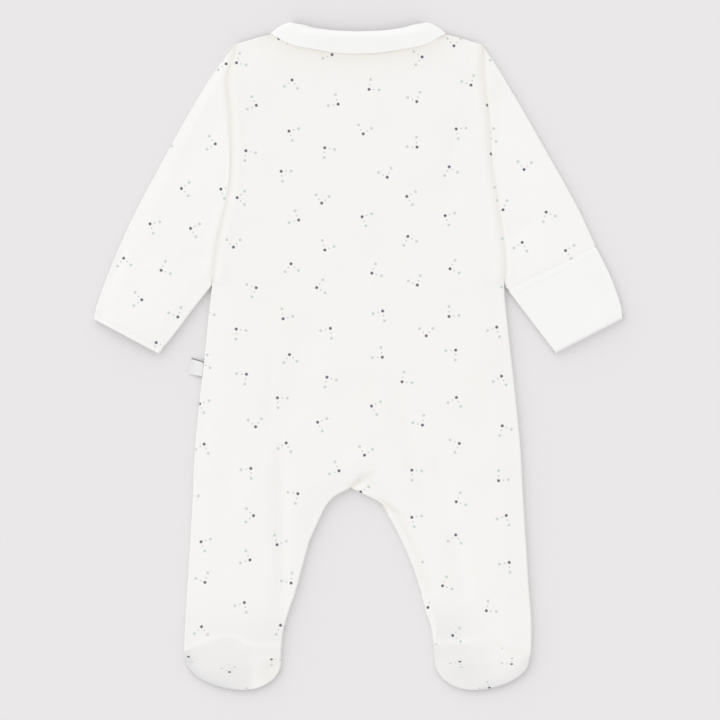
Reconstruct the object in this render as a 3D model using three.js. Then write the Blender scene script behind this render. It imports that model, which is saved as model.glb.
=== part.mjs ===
// A footed baby sleepsuit laid flat on its front, seen from the back.
// X runs across the body towards the wearer's right, Y runs up the body to the neck and Z is up.
// The table is the plane z = 0, the sizes are millimetres, and the suit is for about three months.
import * as THREE from "three";

// Cloth and seams
const clothWall = 1.5;
const seamGap = 0.3;
const bodyTop = 6.8; // outside of the back above the table
const sleeveTop = 6.4;
const frontRim = 2.3; // the front's edge turns up to here
const backRim = frontRim + seamGap; // the back's edge turns down to here
const backRound = 7; // width over which a back edge rounds down
const frontRound = 3;
const seamDip = 1.1; // depth of the valley where two pieces are sewn side by side
const seamDipWidth = 9;

// Levels of the body, measured up it
const shoulderY = 262;
const underarmY = 148;
const sleeveLeavesY = 58.7; // below here the sleeve's inner edge leaves the side of the body
const crotch = { x: -6.3, y: -110.2 };
const heelY = -241;
const footSideY = -256; // the round of the toe starts here
const toeY = -279.9;
const toePeakX = 97;
const toeRoundness = { inner: 2, outer: 1.8 };

// Side of the body and leg: distance from the middle line at each level, left and right
const sideTable = [
  { y: -256, left: 144, right: 143.5 },
  { y: -247, left: 146, right: 145.2 },
  { y: -221, left: 145, right: 145.5 },
  { y: -188, left: 143, right: 143 },
  { y: -154, left: 140.8, right: 141 },
  { y: -120, left: 139, right: 138.8 },
  { y: -78, left: 137, right: 136.5 },
  { y: -36, left: 133, right: 132.5 },
  { y: 5, left: 128.5, right: 128 },
  { y: 31, left: 126, right: 125.2 },
  { y: 58, left: 123, right: 122.8 },
  { y: 75, left: 121.4, right: 124 },
  { y: 98, left: 118.3, right: 122.2 },
  { y: 133, left: 110, right: 117.4 },
  { y: 165, left: 107, right: 112.6 },
  { y: 200, left: 107.8, right: 110 },
  { y: 235, left: 109.5, right: 106 },
  { y: 262, left: 103, right: 104 },
];

// Inside of each leg from the crotch down, for the back and for the front that shows beside it
const inseamTable = [
  { y: -256, left: 64.6, right: 66, rightFront: 64.5 },
  { y: -244, left: 64.3, right: 67.4, rightFront: 63.4 },
  { y: -229, left: 62.4, right: 66.6, rightFront: 61.7 },
  { y: -214, left: 58.3, right: 63, rightFront: 56.7 },
  { y: -200, left: 53.3, right: 58, rightFront: 53.2 },
  { y: -188, left: 49.8, right: 54, rightFront: 49.7 },
  { y: -175, left: 46.4, right: 51, rightFront: 45.2 },
  { y: -163, left: 43.2, right: 47.6, rightFront: 40.2 },
  { y: -154, left: 40.5, right: 42.3, rightFront: 36 },
  { y: -143, left: 35.6, right: 36.6, rightFront: 30.6 },
  { y: -134, left: 31.5, right: 29.6, rightFront: 25.4 },
  { y: -123, left: 25.5, right: 18.8, rightFront: 18.6 },
  { y: -116, left: 17.8, right: 5.9, rightFront: 5.7 },
  { y: crotch.y, left: -crotch.x, right: crotch.x, rightFront: crotch.x },
];

// Top edge of the back, middle of the neck to the end of the shoulder
const topTable = [
  { x: 0, y: 267.5 },
  { x: 36, y: 269.3 },
  { x: 50, y: 271.3 },
  { x: 60, y: 271.4 },
  { x: 70, y: 269.4 },
  { x: 80, y: 268.4 },
  { x: 90, y: 266.3 },
  { x: 104, y: 262 },
];
const neckEdgeX = 54; // the neck hole ends here and the shoulder seam begins
const neckCorner = 63; // half width of the front neck
const frontNeckY = 228;
const frontTuck = 3; // under the collar the front stops this far inside the back

// Seam between the back of each leg and its sole
const heelTable = {
  left: [
    { x: 64, y: -243.8 },
    { x: 81, y: -244.6 },
    { x: 94, y: -241.8 },
    { x: 108, y: -236 },
    { x: 125, y: -239.6 },
    { x: 146, y: -247 },
  ],
  right: [
    { x: 64, y: -240.4 },
    { x: 91, y: -240.2 },
    { x: 106, y: -238.9 },
    { x: 117, y: -242 },
    { x: 124, y: -247 },
    { x: 146, y: -250.5 },
  ],
};

// Sleeve edges: distance from the middle line at each level
const sleeveOuterTable = [
  { y: 31.8, left: 221.8, right: 221.8 },
  { y: 43, left: 219.4, right: 220.6 },
  { y: 69, left: 210, right: 211.3 },
  { y: 91, left: 201, right: 200.4 },
  { y: 126, left: 184.6, right: 184 },
  { y: 169, left: 161.6, right: 160 },
  { y: 210, left: 138.7, right: 136.6 },
  { y: 243, left: 118, right: 116.8 },
  { y: 262, left: 103, right: 104 },
];
const sleeveInnerTable = [
  { y: 2.8, left: 167.5, right: 166.1 },
  { y: 22, left: 154.2, right: 151.2 },
  { y: 40.5, left: 140, right: 137 },
  { y: 58.7, left: 123.6, right: 123.4 },
];
const cuffOuterY = 31.8;
const cuffInnerY = 2.8;
const hemDepth = 5;
const hemExtra = 0.7; // the turned hem is this much thicker
const cuffInset = 3.6; // the right sleeve ends this far short of the mitt's fold
const sleeveLength = { inner: 178, outer: 245 }; // both edges, as long as they would be at the cuff's slope

// The mitt folded over the right cuff
const mittDepth = 64;

// The collar is one band of two layers, turned down over the neck seam
const collarWall = 2;
const collarBack = [
  { rollX: 0, rollY: 272.8, fallX: 0, fallY: 255.6 },
  { rollX: 20, rollY: 273.6, fallX: 18, fallY: 256.5 },
  { rollX: 37, rollY: 275.4, fallX: 33, fallY: 258.4 },
  { rollX: 46, rollY: 276.6, fallX: 52, fallY: 261 },
  { rollX: 53, rollY: 276.3, fallX: 70, fallY: 268 },
];
const collarFront = [
  { rollX: 55, rollY: 268, fallX: 72, fallY: 260 },
  { rollX: 51, rollY: 256, fallX: 67, fallY: 247 },
  { rollX: 42, rollY: 243, fallX: 55, fallY: 230 },
  { rollX: 30, rollY: 234, fallX: 38, fallY: 217.5 },
  { rollX: 18, rollY: 229.5, fallX: 20, fallY: 211 },
];
const collarWrapSteps = 6;

// Front opening: the right half laps over the left, with press studs on the lap
const lapHalf = 10;
const lapRamp = 6;
const studTop = 1.2;
const lapOuter = studTop + seamGap;
const lapInner = lapOuter + clothWall + seamGap;
const lapEnd = { from: -64, to: -84, flat: -104 };
const studRadius = 4.5;
const studLevels = [205, 155, 105, 55, 5, -45];

// Blank ribbon loop in the left side seam, corner by corner
const label = {
  wall: 1,
  topIn: -4.2,
  bottomIn: -16.4,
  outX: [-139.8, -142.6],
  outY: [-1, -14.4],
  drop: 1.9,
};

// Largest folds of the back: a line from end to end, with its width and its height, below zero for a trough
const foldTable = [
  { x1: -66, y1: -62, x2: -63.5, y2: -222, width: 5, height: -1.9 },
  { x1: -74, y1: 0, x2: -74, y2: -225, width: 6, height: 0.2 },
  { x1: 28, y1: -20, x2: 64, y2: -145, width: 7, height: -1.3 },
  { x1: 60, y1: -60, x2: 92, y2: -215, width: 9, height: -0.9 },
  { x1: 12, y1: -92, x2: -3, y2: -107, width: 4, height: -1.4 },
  { x1: -108, y1: -60, x2: -118, y2: -200, width: 12, height: -0.6 },
  { x1: -40, y1: 40, x2: -60, y2: -60, width: 14, height: -0.6 },
  { x1: 88, y1: 205, x2: 70, y2: 120, width: 12, height: -0.7 },
];

// Value of one column of a table where another column is `at`, on smooth cubic pieces through the rows
function lookUp(table, at, from, to) {
  const last = table.length - 1;
  let i = 0;
  while (i < last - 1 && at > table[i + 1][from]) {
    i += 1;
  }
  const slope = (k) => {
    const a = table[Math.max(0, k - 1)];
    const b = table[Math.min(last, k + 1)];
    return (b[to] - a[to]) / (b[from] - a[from]);
  };
  const span = table[i + 1][from] - table[i][from];
  const t = Math.min(1, Math.max(0, (at - table[i][from]) / span));
  const bend = t * t * (3 - 2 * t);
  const leave = t * (1 - t) * (1 - t) * span * slope(i);
  const arrive = t * t * (t - 1) * span * slope(i + 1);
  return table[i][to] + (table[i + 1][to] - table[i][to]) * bend + leave + arrive;
}

const lerp = THREE.MathUtils.lerp;
const smoothstep = (value, from, to) => {
  const t = Math.min(1, Math.max(0, (value - from) / (to - from)));
  return t * t * (3 - 2 * t);
};
const roundedRise = (q) => (q >= 1 ? 1 : Math.sqrt(1 - (1 - q) * (1 - q)));
const bell = (q) => (q >= 1 ? 0 : (1 + Math.cos(Math.PI * q)) / 2);
const hand = { left: -1, right: 1 };

const sideX = (side, y) => lookUp(sideTable, y, "y", side);
const topY = (x) => lookUp(topTable, Math.abs(x), "x", "y");
const middleX = (y) => crotch.x * Math.min(1, Math.max(0, (shoulderY - y) / (shoulderY - crotch.y)));

// Round end of a foot: half of a flattened circle whose peak is nearer the inside of the foot
function toeEdgeY(x, innerX, outerX) {
  const inner = x < toePeakX;
  const power = inner ? toeRoundness.inner : toeRoundness.outer;
  const reach = inner ? toePeakX - innerX : outerX - toePeakX;
  const q = Math.min(1, Math.abs(x - toePeakX) / reach);
  return footSideY + (toeY - footSideY) * Math.pow(1 - Math.pow(q, power), 1 / power);
}

// Top edge of the front: tucked inside the shoulder of the back, then half an oval down to the neck
function frontTopY(x) {
  const across = Math.abs(x);
  const shoulder = topY(across) - frontTuck * (1 - smoothstep(across, 92, 103));
  if (across >= neckCorner) {
    return shoulder;
  }
  const q = across / neckCorner;
  return lerp(frontNeckY, topY(neckCorner) - frontTuck, 1 - Math.pow(1 - Math.pow(q, 2.6), 1 / 2.2));
}

// An edge is a row of points in plan. `turn` is 1 where the cloth turns into the flat's outer rim,
// and 0 where it stays level because another piece is sewn on beside it.
function nearestOn(edge, x, y) {
  let best = { distance: Infinity, turn: 0 };
  for (let i = 0; i + 1 < edge.length; i += 1) {
    const a = edge[i];
    const b = edge[i + 1];
    const dx = b.x - a.x;
    const dy = b.y - a.y;
    const length = dx * dx + dy * dy || 1;
    const t = Math.min(1, Math.max(0, ((x - a.x) * dx + (y - a.y) * dy) / length));
    const distance = Math.hypot(x - a.x - t * dx, y - a.y - t * dy);
    if (distance < best.distance) {
      best = { distance, turn: lerp(a.turn, b.turn, t) };
    }
  }
  return best;
}

function sampleEdge(count, place) {
  return Array.from({ length: count + 1 }, (_, i) => place(i / count));
}

// How far a piece's side has turned into a rim at each level: level at the armhole, rim below it
const sideTurn = (y) => 1 - smoothstep(y, underarmY - 4, underarmY + 10);
const topTurn = (x) => smoothstep(Math.abs(x), neckEdgeX - 4, neckEdgeX + 10);

const sideEdge = (side, low) =>
  sampleEdge(180, (t) => {
    const y = lerp(low, shoulderY, t);
    return { x: hand[side] * sideX(side, y), y, turn: sideTurn(y) };
  });
const inseamEdge = (side, column, low) =>
  sampleEdge(80, (t) => {
    const y = lerp(low, crotch.y, t);
    return { x: hand[side] * lookUp(inseamTable, y, "y", column), y, turn: 1 };
  });
const backTopEdge = sampleEdge(60, (t) => {
  const x = lerp(-103.5, 103.5, t);
  return { x, y: topY(x), turn: topTurn(x) };
});
const heelEdge = (side) =>
  sampleEdge(12, (t) => {
    const x = lerp(64, 146, t);
    return { x: hand[side] * x, y: lookUp(heelTable[side], x, "x", "y"), turn: 0 };
  });

// Height of the folds above the plain back
function foldHeight(x, y) {
  let height = 0;
  for (const fold of foldTable) {
    const dx = fold.x2 - fold.x1;
    const dy = fold.y2 - fold.y1;
    const along = ((x - fold.x1) * dx + (y - fold.y1) * dy) / (dx * dx + dy * dy);
    const across = ((x - fold.x1) * dy - (y - fold.y1) * dx) / Math.hypot(dx, dy);
    const fade = smoothstep(along, -0.12, 0.3) * (1 - smoothstep(along, 0.75, 1.12));
    height += fold.height * fade * Math.exp(-((across / fold.width) ** 2));
  }
  return height;
}

// Height of a piece that forms the upper layer: level, rounded down at rims and dipped at seams
function lidHeight(edges, top, x, y) {
  let z = top;
  for (const edge of edges) {
    const { distance, turn } = nearestOn(edge, x, y);
    const rim = (top - backRim) * (1 - roundedRise(distance / backRound));
    const dip = seamDip * bell(distance / seamDipWidth);
    z = Math.min(z, top - turn * rim - (1 - turn) * dip);
  }
  return z;
}

// Height of a piece that forms the lower layer: flat on the table, turned up at rims
function trayHeight(edges, x, y) {
  let z = 0;
  for (const edge of edges) {
    const { distance, turn } = nearestOn(edge, x, y);
    z = Math.max(z, turn * frontRim * (1 - roundedRise(distance / frontRound)));
  }
  return z;
}

// A sheet is its outer points, its faces, and for points on a cut edge the direction across the cut
class Sheet {
  constructor() {
    this.points = [];
    this.faces = [];
    this.cuts = new Map();
    this.found = new Map();
  }

  // Points at the same place become one, so that two grids join along a shared line
  add(point, cut) {
    const key = [point.x, point.y, point.z].map((value) => value.toFixed(4)).join(" ");
    if (!this.found.has(key)) {
      this.found.set(key, this.points.length);
      this.points.push(point);
    }
    const index = this.found.get(key);
    if (cut && !(this.cuts.has(index) && this.cuts.get(index).z !== 0)) {
      this.cuts.set(index, cut);
    }
    return index;
  }

  // Grid of rows and columns; place(row, column) gives { point, cut }
  grid(rows, columns, place, { ring = false, flip = false } = {}) {
    const index = [];
    for (let r = 0; r < rows; r += 1) {
      index.push([]);
      for (let c = 0; c < columns; c += 1) {
        const { point, cut } = place(r, c);
        index[r].push(this.add(point, cut));
      }
      if (ring) {
        index[r].push(index[r][0]);
      }
    }
    for (let r = 0; r + 1 < rows; r += 1) {
      for (let c = 0; c + 1 < index[r].length; c += 1) {
        const corners = [index[r][c], index[r + 1][c], index[r + 1][c + 1], index[r][c + 1]];
        this.quad(flip ? corners.reverse() : corners);
      }
    }
    return this;
  }

  quad([a, b, c, d]) {
    for (const face of [[a, b, c], [a, c, d]]) {
      if (new Set(face).size === 3) {
        this.faces.push(face);
      }
    }
  }

  // Closed wall: the sheet, a copy moved in by the wall but not below `lowest`, and a strip along every
  // open edge
  wall(thickness, lowest = 0) {
    const normals = this.points.map(() => new THREE.Vector3());
    const one = new THREE.Vector3();
    const two = new THREE.Vector3();
    for (const [a, b, c] of this.faces) {
      one.subVectors(this.points[b], this.points[a]);
      two.subVectors(this.points[c], this.points[a]);
      one.cross(two);
      for (const corner of [a, b, c]) {
        normals[corner].add(one);
      }
    }
    const count = this.points.length;
    const inside = this.points.map((point, i) => {
      const normal = normals[i].normalize();
      const cut = this.cuts.get(i);
      if (cut) {
        normal.addScaledVector(cut, -normal.dot(cut)).normalize();
      }
      const moved = point.clone().addScaledVector(normal, -thickness);
      moved.z = Math.max(moved.z, lowest);
      return moved;
    });
    const sides = new Map();
    const faces = [];
    for (const [a, b, c] of this.faces) {
      faces.push([a, b, c], [a + count, c + count, b + count]);
      for (const [from, to] of [[a, b], [b, c], [c, a]]) {
        if (!sides.delete(to + " " + from)) {
          sides.set(from + " " + to, [from, to]);
        }
      }
    }
    for (const [from, to] of sides.values()) {
      faces.push([to, from, from + count], [to, from + count, to + count]);
    }
    return closedGeometry([...this.points, ...inside], faces);
  }
}

function closedGeometry(points, faces) {
  const geometry = new THREE.BufferGeometry();
  geometry.setAttribute("position", new THREE.Float32BufferAttribute(points.flatMap((p) => p.toArray()), 3));
  geometry.setIndex(faces.flat());
  geometry.computeVertexNormals();
  return geometry;
}

// Direction across a cut that is level cloth at turn 0 and a rim at turn 1
const cutAcross = (x, y, turn) => new THREE.Vector3(x * (1 - turn), y * (1 - turn), -turn).normalize();

// Places of columns across a strip of cloth, as distances from its first edge: `first` and `last` are
// the places near each edge, measured from it, and the columns between them are even
const roundSteps = [0, 22.5, 45, 67.5, 90].map((angle) => 1 - Math.cos((angle * Math.PI) / 180));
const roundPlaces = (radius) => roundSteps.map((q) => q * radius);
function columnPlaces(width, evenCount, first, last) {
  const from = first.at(-1);
  const to = width - last.at(-1);
  const between = Array.from({ length: evenCount - 1 }, (_, i) => lerp(from, to, (i + 1) / evenCount));
  return [...first, ...between, ...last.map((place) => width - place).reverse()];
}
const mixPlaces = (one, two, t) => one.map((place, i) => lerp(place, two[i], t));

// Levels of the rows down the back and the front
function rowLevels(topRound, bottom, step) {
  const top = roundSteps.map((q) => shoulderY - q * topRound);
  const body = [];
  const last = crotch.y + 9;
  const count = Math.round((shoulderY - topRound - last) / step);
  for (let i = 1; i <= count; i += 1) {
    body.push(lerp(shoulderY - topRound, last, i / count));
  }
  const nearCrotch = [5, 2, 0, -2.5, -6, -11, -18, -27, -38].map((above) => crotch.y + above);
  const leg = [];
  const legCount = Math.round((nearCrotch.at(-1) - bottom) / step);
  for (let i = 1; i <= legCount; i += 1) {
    leg.push(lerp(nearCrotch.at(-1), bottom, i / legCount));
  }
  return [...top, ...body, ...nearCrotch, ...leg];
}

const backColumns = 5; // even columns between the close ones at the edges

// The back: two half bodies, each with its leg, joined down the middle as far as the crotch
function buildBack() {
  const sheet = new Sheet();
  const levels = rowLevels(backRound, heelY, 17);
  const lastColumn = backColumns + 8;
  const middlePlaces = [0, 10, 20, 30, 40];
  const belowHeel = -262;
  const edges = [
    backTopEdge,
    ...["left", "right"].flatMap((side) => [
      sideEdge(side, belowHeel),
      inseamEdge(side, side, belowHeel),
      heelEdge(side),
    ]),
  ];
  for (const side of ["left", "right"]) {
    const sign = hand[side];
    sheet.grid(
      levels.length,
      lastColumn + 1,
      (r, c) => {
        const level = levels[r];
        const inLeg = level <= crotch.y;
        const outerX = sideX(side, level);
        const innerX = inLeg ? lookUp(inseamTable, level, "y", side) : sign * middleX(level);
        const atLeg = 1 - smoothstep(level, crotch.y, crotch.y + 110);
        const innerPlaces = mixPlaces(middlePlaces, roundPlaces(backRound), atLeg);
        const places = columnPlaces(outerX - innerX, backColumns, roundPlaces(backRound), innerPlaces);
        const x = sign * (outerX - places[c]);
        const rise = (topY(x) - shoulderY) * smoothstep(level, 170, shoulderY) ** 2;
        const heelBow = lookUp(heelTable[side], Math.abs(x), "x", "y") - heelY;
        const fall = heelBow * smoothstep(-level, 215, -heelY);
        const y = level + rise + fall;
        const z = lidHeight(edges, bodyTop + foldHeight(x, y), x, y);
        let cut = null;
        if (r === 0) {
          cut = cutAcross(0, 1, topTurn(x));
        } else if (c === 0) {
          cut = cutAcross(sign, 0, sideTurn(level));
        } else if (c === lastColumn && inLeg) {
          cut = cutAcross(0, 0, 1);
        } else if (r === levels.length - 1) {
          cut = cutAcross(0, 1, 0);
        }
        return { point: new THREE.Vector3(x, y, z), cut };
      },
      { flip: side === "right" },
    );
  }
  return sheet.wall(clothWall, backRim);
}

// Each half of the front: flat on the table, lifted over the front of the collar and along the lap
function buildFront(side) {
  const sign = hand[side];
  const levels = rowLevels(frontRound, footSideY, 17);
  const column = side === "right" ? "rightFront" : "left";
  const outerFoot = sideX(side, footSideY);
  const innerFoot = lookUp(inseamTable, footSideY, "y", column);
  const toeEdge = sampleEdge(60, (t) => {
    const x = lerp(innerFoot, outerFoot, t);
    return { x: sign * x, y: toeEdgeY(x, innerFoot, outerFoot), turn: 1 };
  });
  const edges = [sideEdge(side, footSideY), inseamEdge(side, column, footSideY), toeEdge];
  const collarLine = [collarBack.at(-1), ...collarFront].map((row) => ({
    x: (sign * (row.rollX + row.fallX)) / 2,
    y: (row.rollY + row.fallY) / 2,
    turn: 0,
  }));
  const lapLevel = side === "right" ? lapOuter : lapInner;
  const overCollar = collarWall + 2 * seamGap;
  const lastRow = levels.length - 1;
  const frontColumns = 5;
  const lastColumn = frontColumns + 8;
  const lapPlaces = (lap) => {
    const edge = lap + lapHalf;
    return [0, Math.max(lap, 2), edge + 0.4, edge + lapRamp / 2, edge + lapRamp];
  };
  const sheet = new Sheet().grid(
    levels.length,
    lastColumn + 1,
    (r, c) => {
      const level = levels[r];
      const inLeg = level <= crotch.y;
      const lap = lapHalf * smoothstep(level, lapEnd.to, lapEnd.from);
      const middle = sign * middleX(level) - Math.max(lap, -seamGap / 2) + seamGap / 2;
      const outerX = sideX(side, level);
      const innerX = inLeg ? lookUp(inseamTable, level, "y", column) + seamGap / 2 : middle;
      const atLeg = 1 - smoothstep(level, crotch.y, lapEnd.to);
      const innerPlaces = mixPlaces(lapPlaces(lap), roundPlaces(frontRound), atLeg);
      const places = columnPlaces(outerX - innerX, frontColumns, roundPlaces(frontRound), innerPlaces);
      const x = sign * (outerX - places[c]);
      const rise = (frontTopY(x) - shoulderY) * smoothstep(level, 120, shoulderY) ** 2;
      const toeBow = toeEdgeY(Math.abs(x), innerFoot, outerFoot) - footSideY;
      const fall = toeBow * smoothstep(-level, 226, -footSideY);
      const y = level + rise + fall;
      const fromMiddle = Math.abs(x - middleX(y));
      const onLap = 1 - smoothstep(fromMiddle, lapHalf + 0.6, lapHalf + lapRamp);
      const lapLift = lapLevel * onLap * smoothstep(level, lapEnd.flat, lapEnd.to);
      const collarDistance = nearestOn(collarLine, x, y).distance;
      const besideLap = smoothstep(fromMiddle, lapHalf + 1, lapHalf + 5);
      const shoulderEnd = 1 - smoothstep(Math.abs(x), 86, 100);
      const collarLift = overCollar * besideLap * shoulderEnd * (1 - smoothstep(collarDistance, 20, 33));
      const z = Math.max(trayHeight(edges, x, y), lapLift, collarLift);
      let cut = null;
      if (r === lastRow) {
        cut = cutAcross(0, 0, 1);
      } else if (r === 0) {
        cut = cutAcross(0, 1, 0);
      } else if (c === 0) {
        cut = cutAcross(sign, 0, sideTurn(level));
      } else if (c === lastColumn) {
        cut = inLeg ? cutAcross(0, 0, 1) : cutAcross(1, 0, 0);
      }
      return { point: new THREE.Vector3(x, y, z), cut };
    },
    { flip: side === "left" },
  );
  return sheet.wall(clothWall);
}

// The sole: from its seam at the heel to the round of the toe
function buildSole(side) {
  const sign = hand[side];
  const heelAt = (x) => lookUp(heelTable[side], x, "x", "y") - seamGap;
  const levelEdges = (down) => {
    const level = lerp(heelY, footSideY, down);
    return { outer: sideX(side, level), inner: lookUp(inseamTable, level, "y", side) };
  };
  const plan = (across, down) => {
    const { outer, inner } = levelEdges(down);
    return { x: sign * across, y: lerp(heelAt(across), toeEdgeY(across, inner, outer), down) };
  };
  const foot = levelEdges(1);
  const rim = [
    ...sampleEdge(20, (t) => ({ ...plan(levelEdges(t).inner, t), turn: 1 })),
    ...sampleEdge(60, (t) => {
      const across = lerp(foot.inner, foot.outer, (1 - Math.cos(Math.PI * t)) / 2);
      return { ...plan(across, 1), turn: 1 };
    }),
    ...sampleEdge(20, (t) => ({ ...plan(levelEdges(1 - t).outer, 1 - t), turn: 1 })),
  ];
  const edges = [rim, heelEdge(side)];
  const rows = [0, 0.16, 0.34, 0.52, 0.68, 0.82, 0.92, 0.98, 1];
  const round = roundPlaces(backRound);
  const lastColumn = backColumns + 8;
  const sheet = new Sheet().grid(
    rows.length,
    lastColumn + 1,
    (r, c) => {
      const { outer, inner } = levelEdges(rows[r]);
      const across = outer - columnPlaces(outer - inner, backColumns, round, round)[c];
      const { x, y } = plan(across, rows[r]);
      let cut = null;
      if (c === 0 || c === lastColumn || r === rows.length - 1) {
        cut = cutAcross(0, 0, 1);
      } else if (r === 0) {
        cut = cutAcross(0, 1, 0);
      }
      return { point: new THREE.Vector3(x, y, lidHeight(edges, bodyTop, x, y)), cut };
    },
    { flip: side === "right" },
  );
  return sheet.wall(clothWall, backRim);
}

// A sleeve in plan: `across` runs from its inner edge to its outer edge, `along` from armhole to cuff.
// Its four edges are blended, so that the grid follows all of them.
function sleevePlan(side, across, along) {
  const gap = seamGap + 0.2;
  const shoulderGap = 0.3;
  const inner = (t) => {
    const y = lerp(underarmY, cuffInnerY, t);
    const besideBody = y > sleeveLeavesY;
    const x = besideBody ? sideX(side, y) + gap : lookUp(sleeveInnerTable, y, "y", side);
    return [x, y];
  };
  const outer = (t) => {
    const y = lerp(shoulderY, cuffOuterY, t);
    return [lookUp(sleeveOuterTable, y, "y", side) + (gap + shoulderGap) * (1 - t), y];
  };
  const armhole = (t) => {
    const y = lerp(underarmY, shoulderY, t);
    return [sideX(side, y) + gap + shoulderGap * t * t, y];
  };
  const start = [inner(0), outer(0)];
  const end = [inner(1), outer(1)];
  const cuff = (t) => [lerp(end[0][0], end[1][0], t), lerp(end[0][1], end[1][1], t)];
  const blend = (k) => {
    const lengthwise = lerp(armhole(across)[k], cuff(across)[k], along);
    const sideways = lerp(inner(along)[k], outer(along)[k], across);
    const corners = lerp(lerp(start[0][k], start[1][k], across), lerp(end[0][k], end[1][k], across), along);
    return lengthwise + sideways - corners;
  };
  return [hand[side] * blend(0), blend(1)];
}

// Place along the sleeve that lies a given distance above the cuff
const edgeLength = (across) => lerp(sleeveLength.inner, sleeveLength.outer, across);
const aboveCuff = (distance) => (across) => 1 - distance / edgeLength(across);

// Width of the sleeve at a place along it, from edge to edge
function sleeveWidth(side, along) {
  const [x1, y1] = sleevePlan(side, 0, along);
  const [x2, y2] = sleevePlan(side, 1, along);
  return Math.hypot(x2 - x1, y2 - y1);
}

// Ring round a sleeve: the upper layer from the inner edge to the outer edge, then the lower layer back.
// `proud` moves the ring out from the sleeve's own surface.
const upperRound = 6;
const lowerRound = 3;
const upperCount = 13;
const lowerSteps = [0.134, 0.5, 1].map((q) => lowerRound * q);
const lowerEven = [0.14, 0.28, 0.5, 0.75];
const lowerCount = lowerEven.length + 2 * lowerSteps.length;
const ringCount = upperCount + lowerCount;
function sleeveRingPoint(side, step, alongAt, proud = 0) {
  const width = sleeveWidth(side, alongAt(0.5));
  const middleHeight = frontRim + seamGap / 2;
  let inward;
  let z;
  if (step <= upperCount) {
    inward = columnPlaces(width, upperCount - 8, roundPlaces(upperRound), roundPlaces(upperRound))[step];
    const fromEdge = Math.min(inward, width - inward);
    const dip = seamDip * bell((alongAt(0.5) * 200) / seamDipWidth);
    const rise = roundedRise(fromEdge / upperRound);
    z = middleHeight + (sleeveTop - dip - middleHeight + proud) * rise;
  } else {
    const flat = lowerEven.map((q) => lerp(lowerRound, width - lowerRound, q));
    const places = [...lowerSteps, ...flat, ...lowerSteps.map((d) => width - d).reverse()];
    inward = width - places[step - upperCount - 1];
    const fromEdge = Math.min(inward, width - inward);
    z = middleHeight * (1 - roundedRise(fromEdge / lowerRound));
  }
  const across = inward / width;
  const [x, y] = sleevePlan(side, across, alongAt(across));
  const [x1, y1] = sleevePlan(side, 0, alongAt(0));
  const [x2, y2] = sleevePlan(side, 1, alongAt(1));
  const push = (proud * (2 * across - 1)) / width;
  return new THREE.Vector3(x + (x2 - x1) * push, y + (y2 - y1) * push, z);
}

// Direction of a sleeve's middle, from the armhole down to the cuff
function sleeveAxis(side, along) {
  const [x1, y1] = sleevePlan(side, 0.5, Math.max(0, along - 0.02));
  const [x2, y2] = sleevePlan(side, 0.5, Math.min(1, along + 0.02));
  return new THREE.Vector3(x2 - x1, y2 - y1, 0).normalize();
}

const sleeveRows = [0, 0.02, 0.045, 0.11, 0.2, 0.29, 0.38, 0.47, 0.56].map((along) => () => along);
const cuffRows = {
  left: [70, 52, 34, 17, hemDepth + 0.8, hemDepth, 0].map(aboveCuff),
  right: [mittDepth + 6, mittDepth - 1, 44, 24, 10, cuffInset].map(aboveCuff),
};

// A sleeve is one wall all round, open at the armhole and at the cuff
function buildSleeve(side) {
  const rows = [...sleeveRows, ...cuffRows[side]];
  const underMitt = side === "right" ? clothWall + seamGap : 0;
  const firstUnderMitt = sleeveRows.length + 1;
  const hemRow = side === "left" ? rows.length - 2 : rows.length;
  const sheet = new Sheet().grid(
    rows.length,
    ringCount,
    (r, c) => {
      const proud = (r >= hemRow ? hemExtra : 0) - (r >= firstUnderMitt ? underMitt : 0);
      const point = sleeveRingPoint(side, c, rows[r], proud);
      if (proud < 0 && c <= upperCount) {
        point.z -= proud * roundedRise((point.z - frontRim) / (sleeveTop - frontRim));
      }
      let cut = null;
      if (r === 0) {
        cut = new THREE.Vector3(1, 0, 0);
      } else if (r === rows.length - 1) {
        cut = sleeveAxis(side, 1);
      }
      return { point, cut };
    },
    { ring: true, flip: side === "left" },
  );
  return sheet.wall(clothWall);
}

// The mitt lies over the upper layer of the right sleeve and closes the end of it
function buildMitt() {
  const side = "right";
  const foldLength = 3;
  const rows = [mittDepth, 44, 24, 10, foldLength].map(aboveCuff);
  const foldAngles = [30, 60, 90].map((angle) => (angle * Math.PI) / 180);
  const axis = sleeveAxis(side, 1);
  const lastRow = rows.length + foldAngles.length - 1;
  const sheet = new Sheet().grid(lastRow + 1, upperCount + 1, (r, c) => {
    const point = sleeveRingPoint(side, c, rows[Math.min(r, rows.length - 1)]);
    point.z += (seamGap + clothWall) * roundedRise((point.z - frontRim) / (sleeveTop - frontRim));
    if (r >= rows.length) {
      const angle = foldAngles[r - rows.length];
      point.addScaledVector(axis, foldLength * Math.sin(angle));
      point.z = point.z * Math.cos(angle) + 0.2 * (1 - Math.cos(angle));
    }
    let cut = null;
    if (c === 0 || c === upperCount || r === lastRow) {
      cut = cutAcross(0, 0, 1);
    } else if (r === 0) {
      cut = axis;
    }
    return { point, cut };
  });
  return sheet.wall(clothWall);
}

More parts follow.
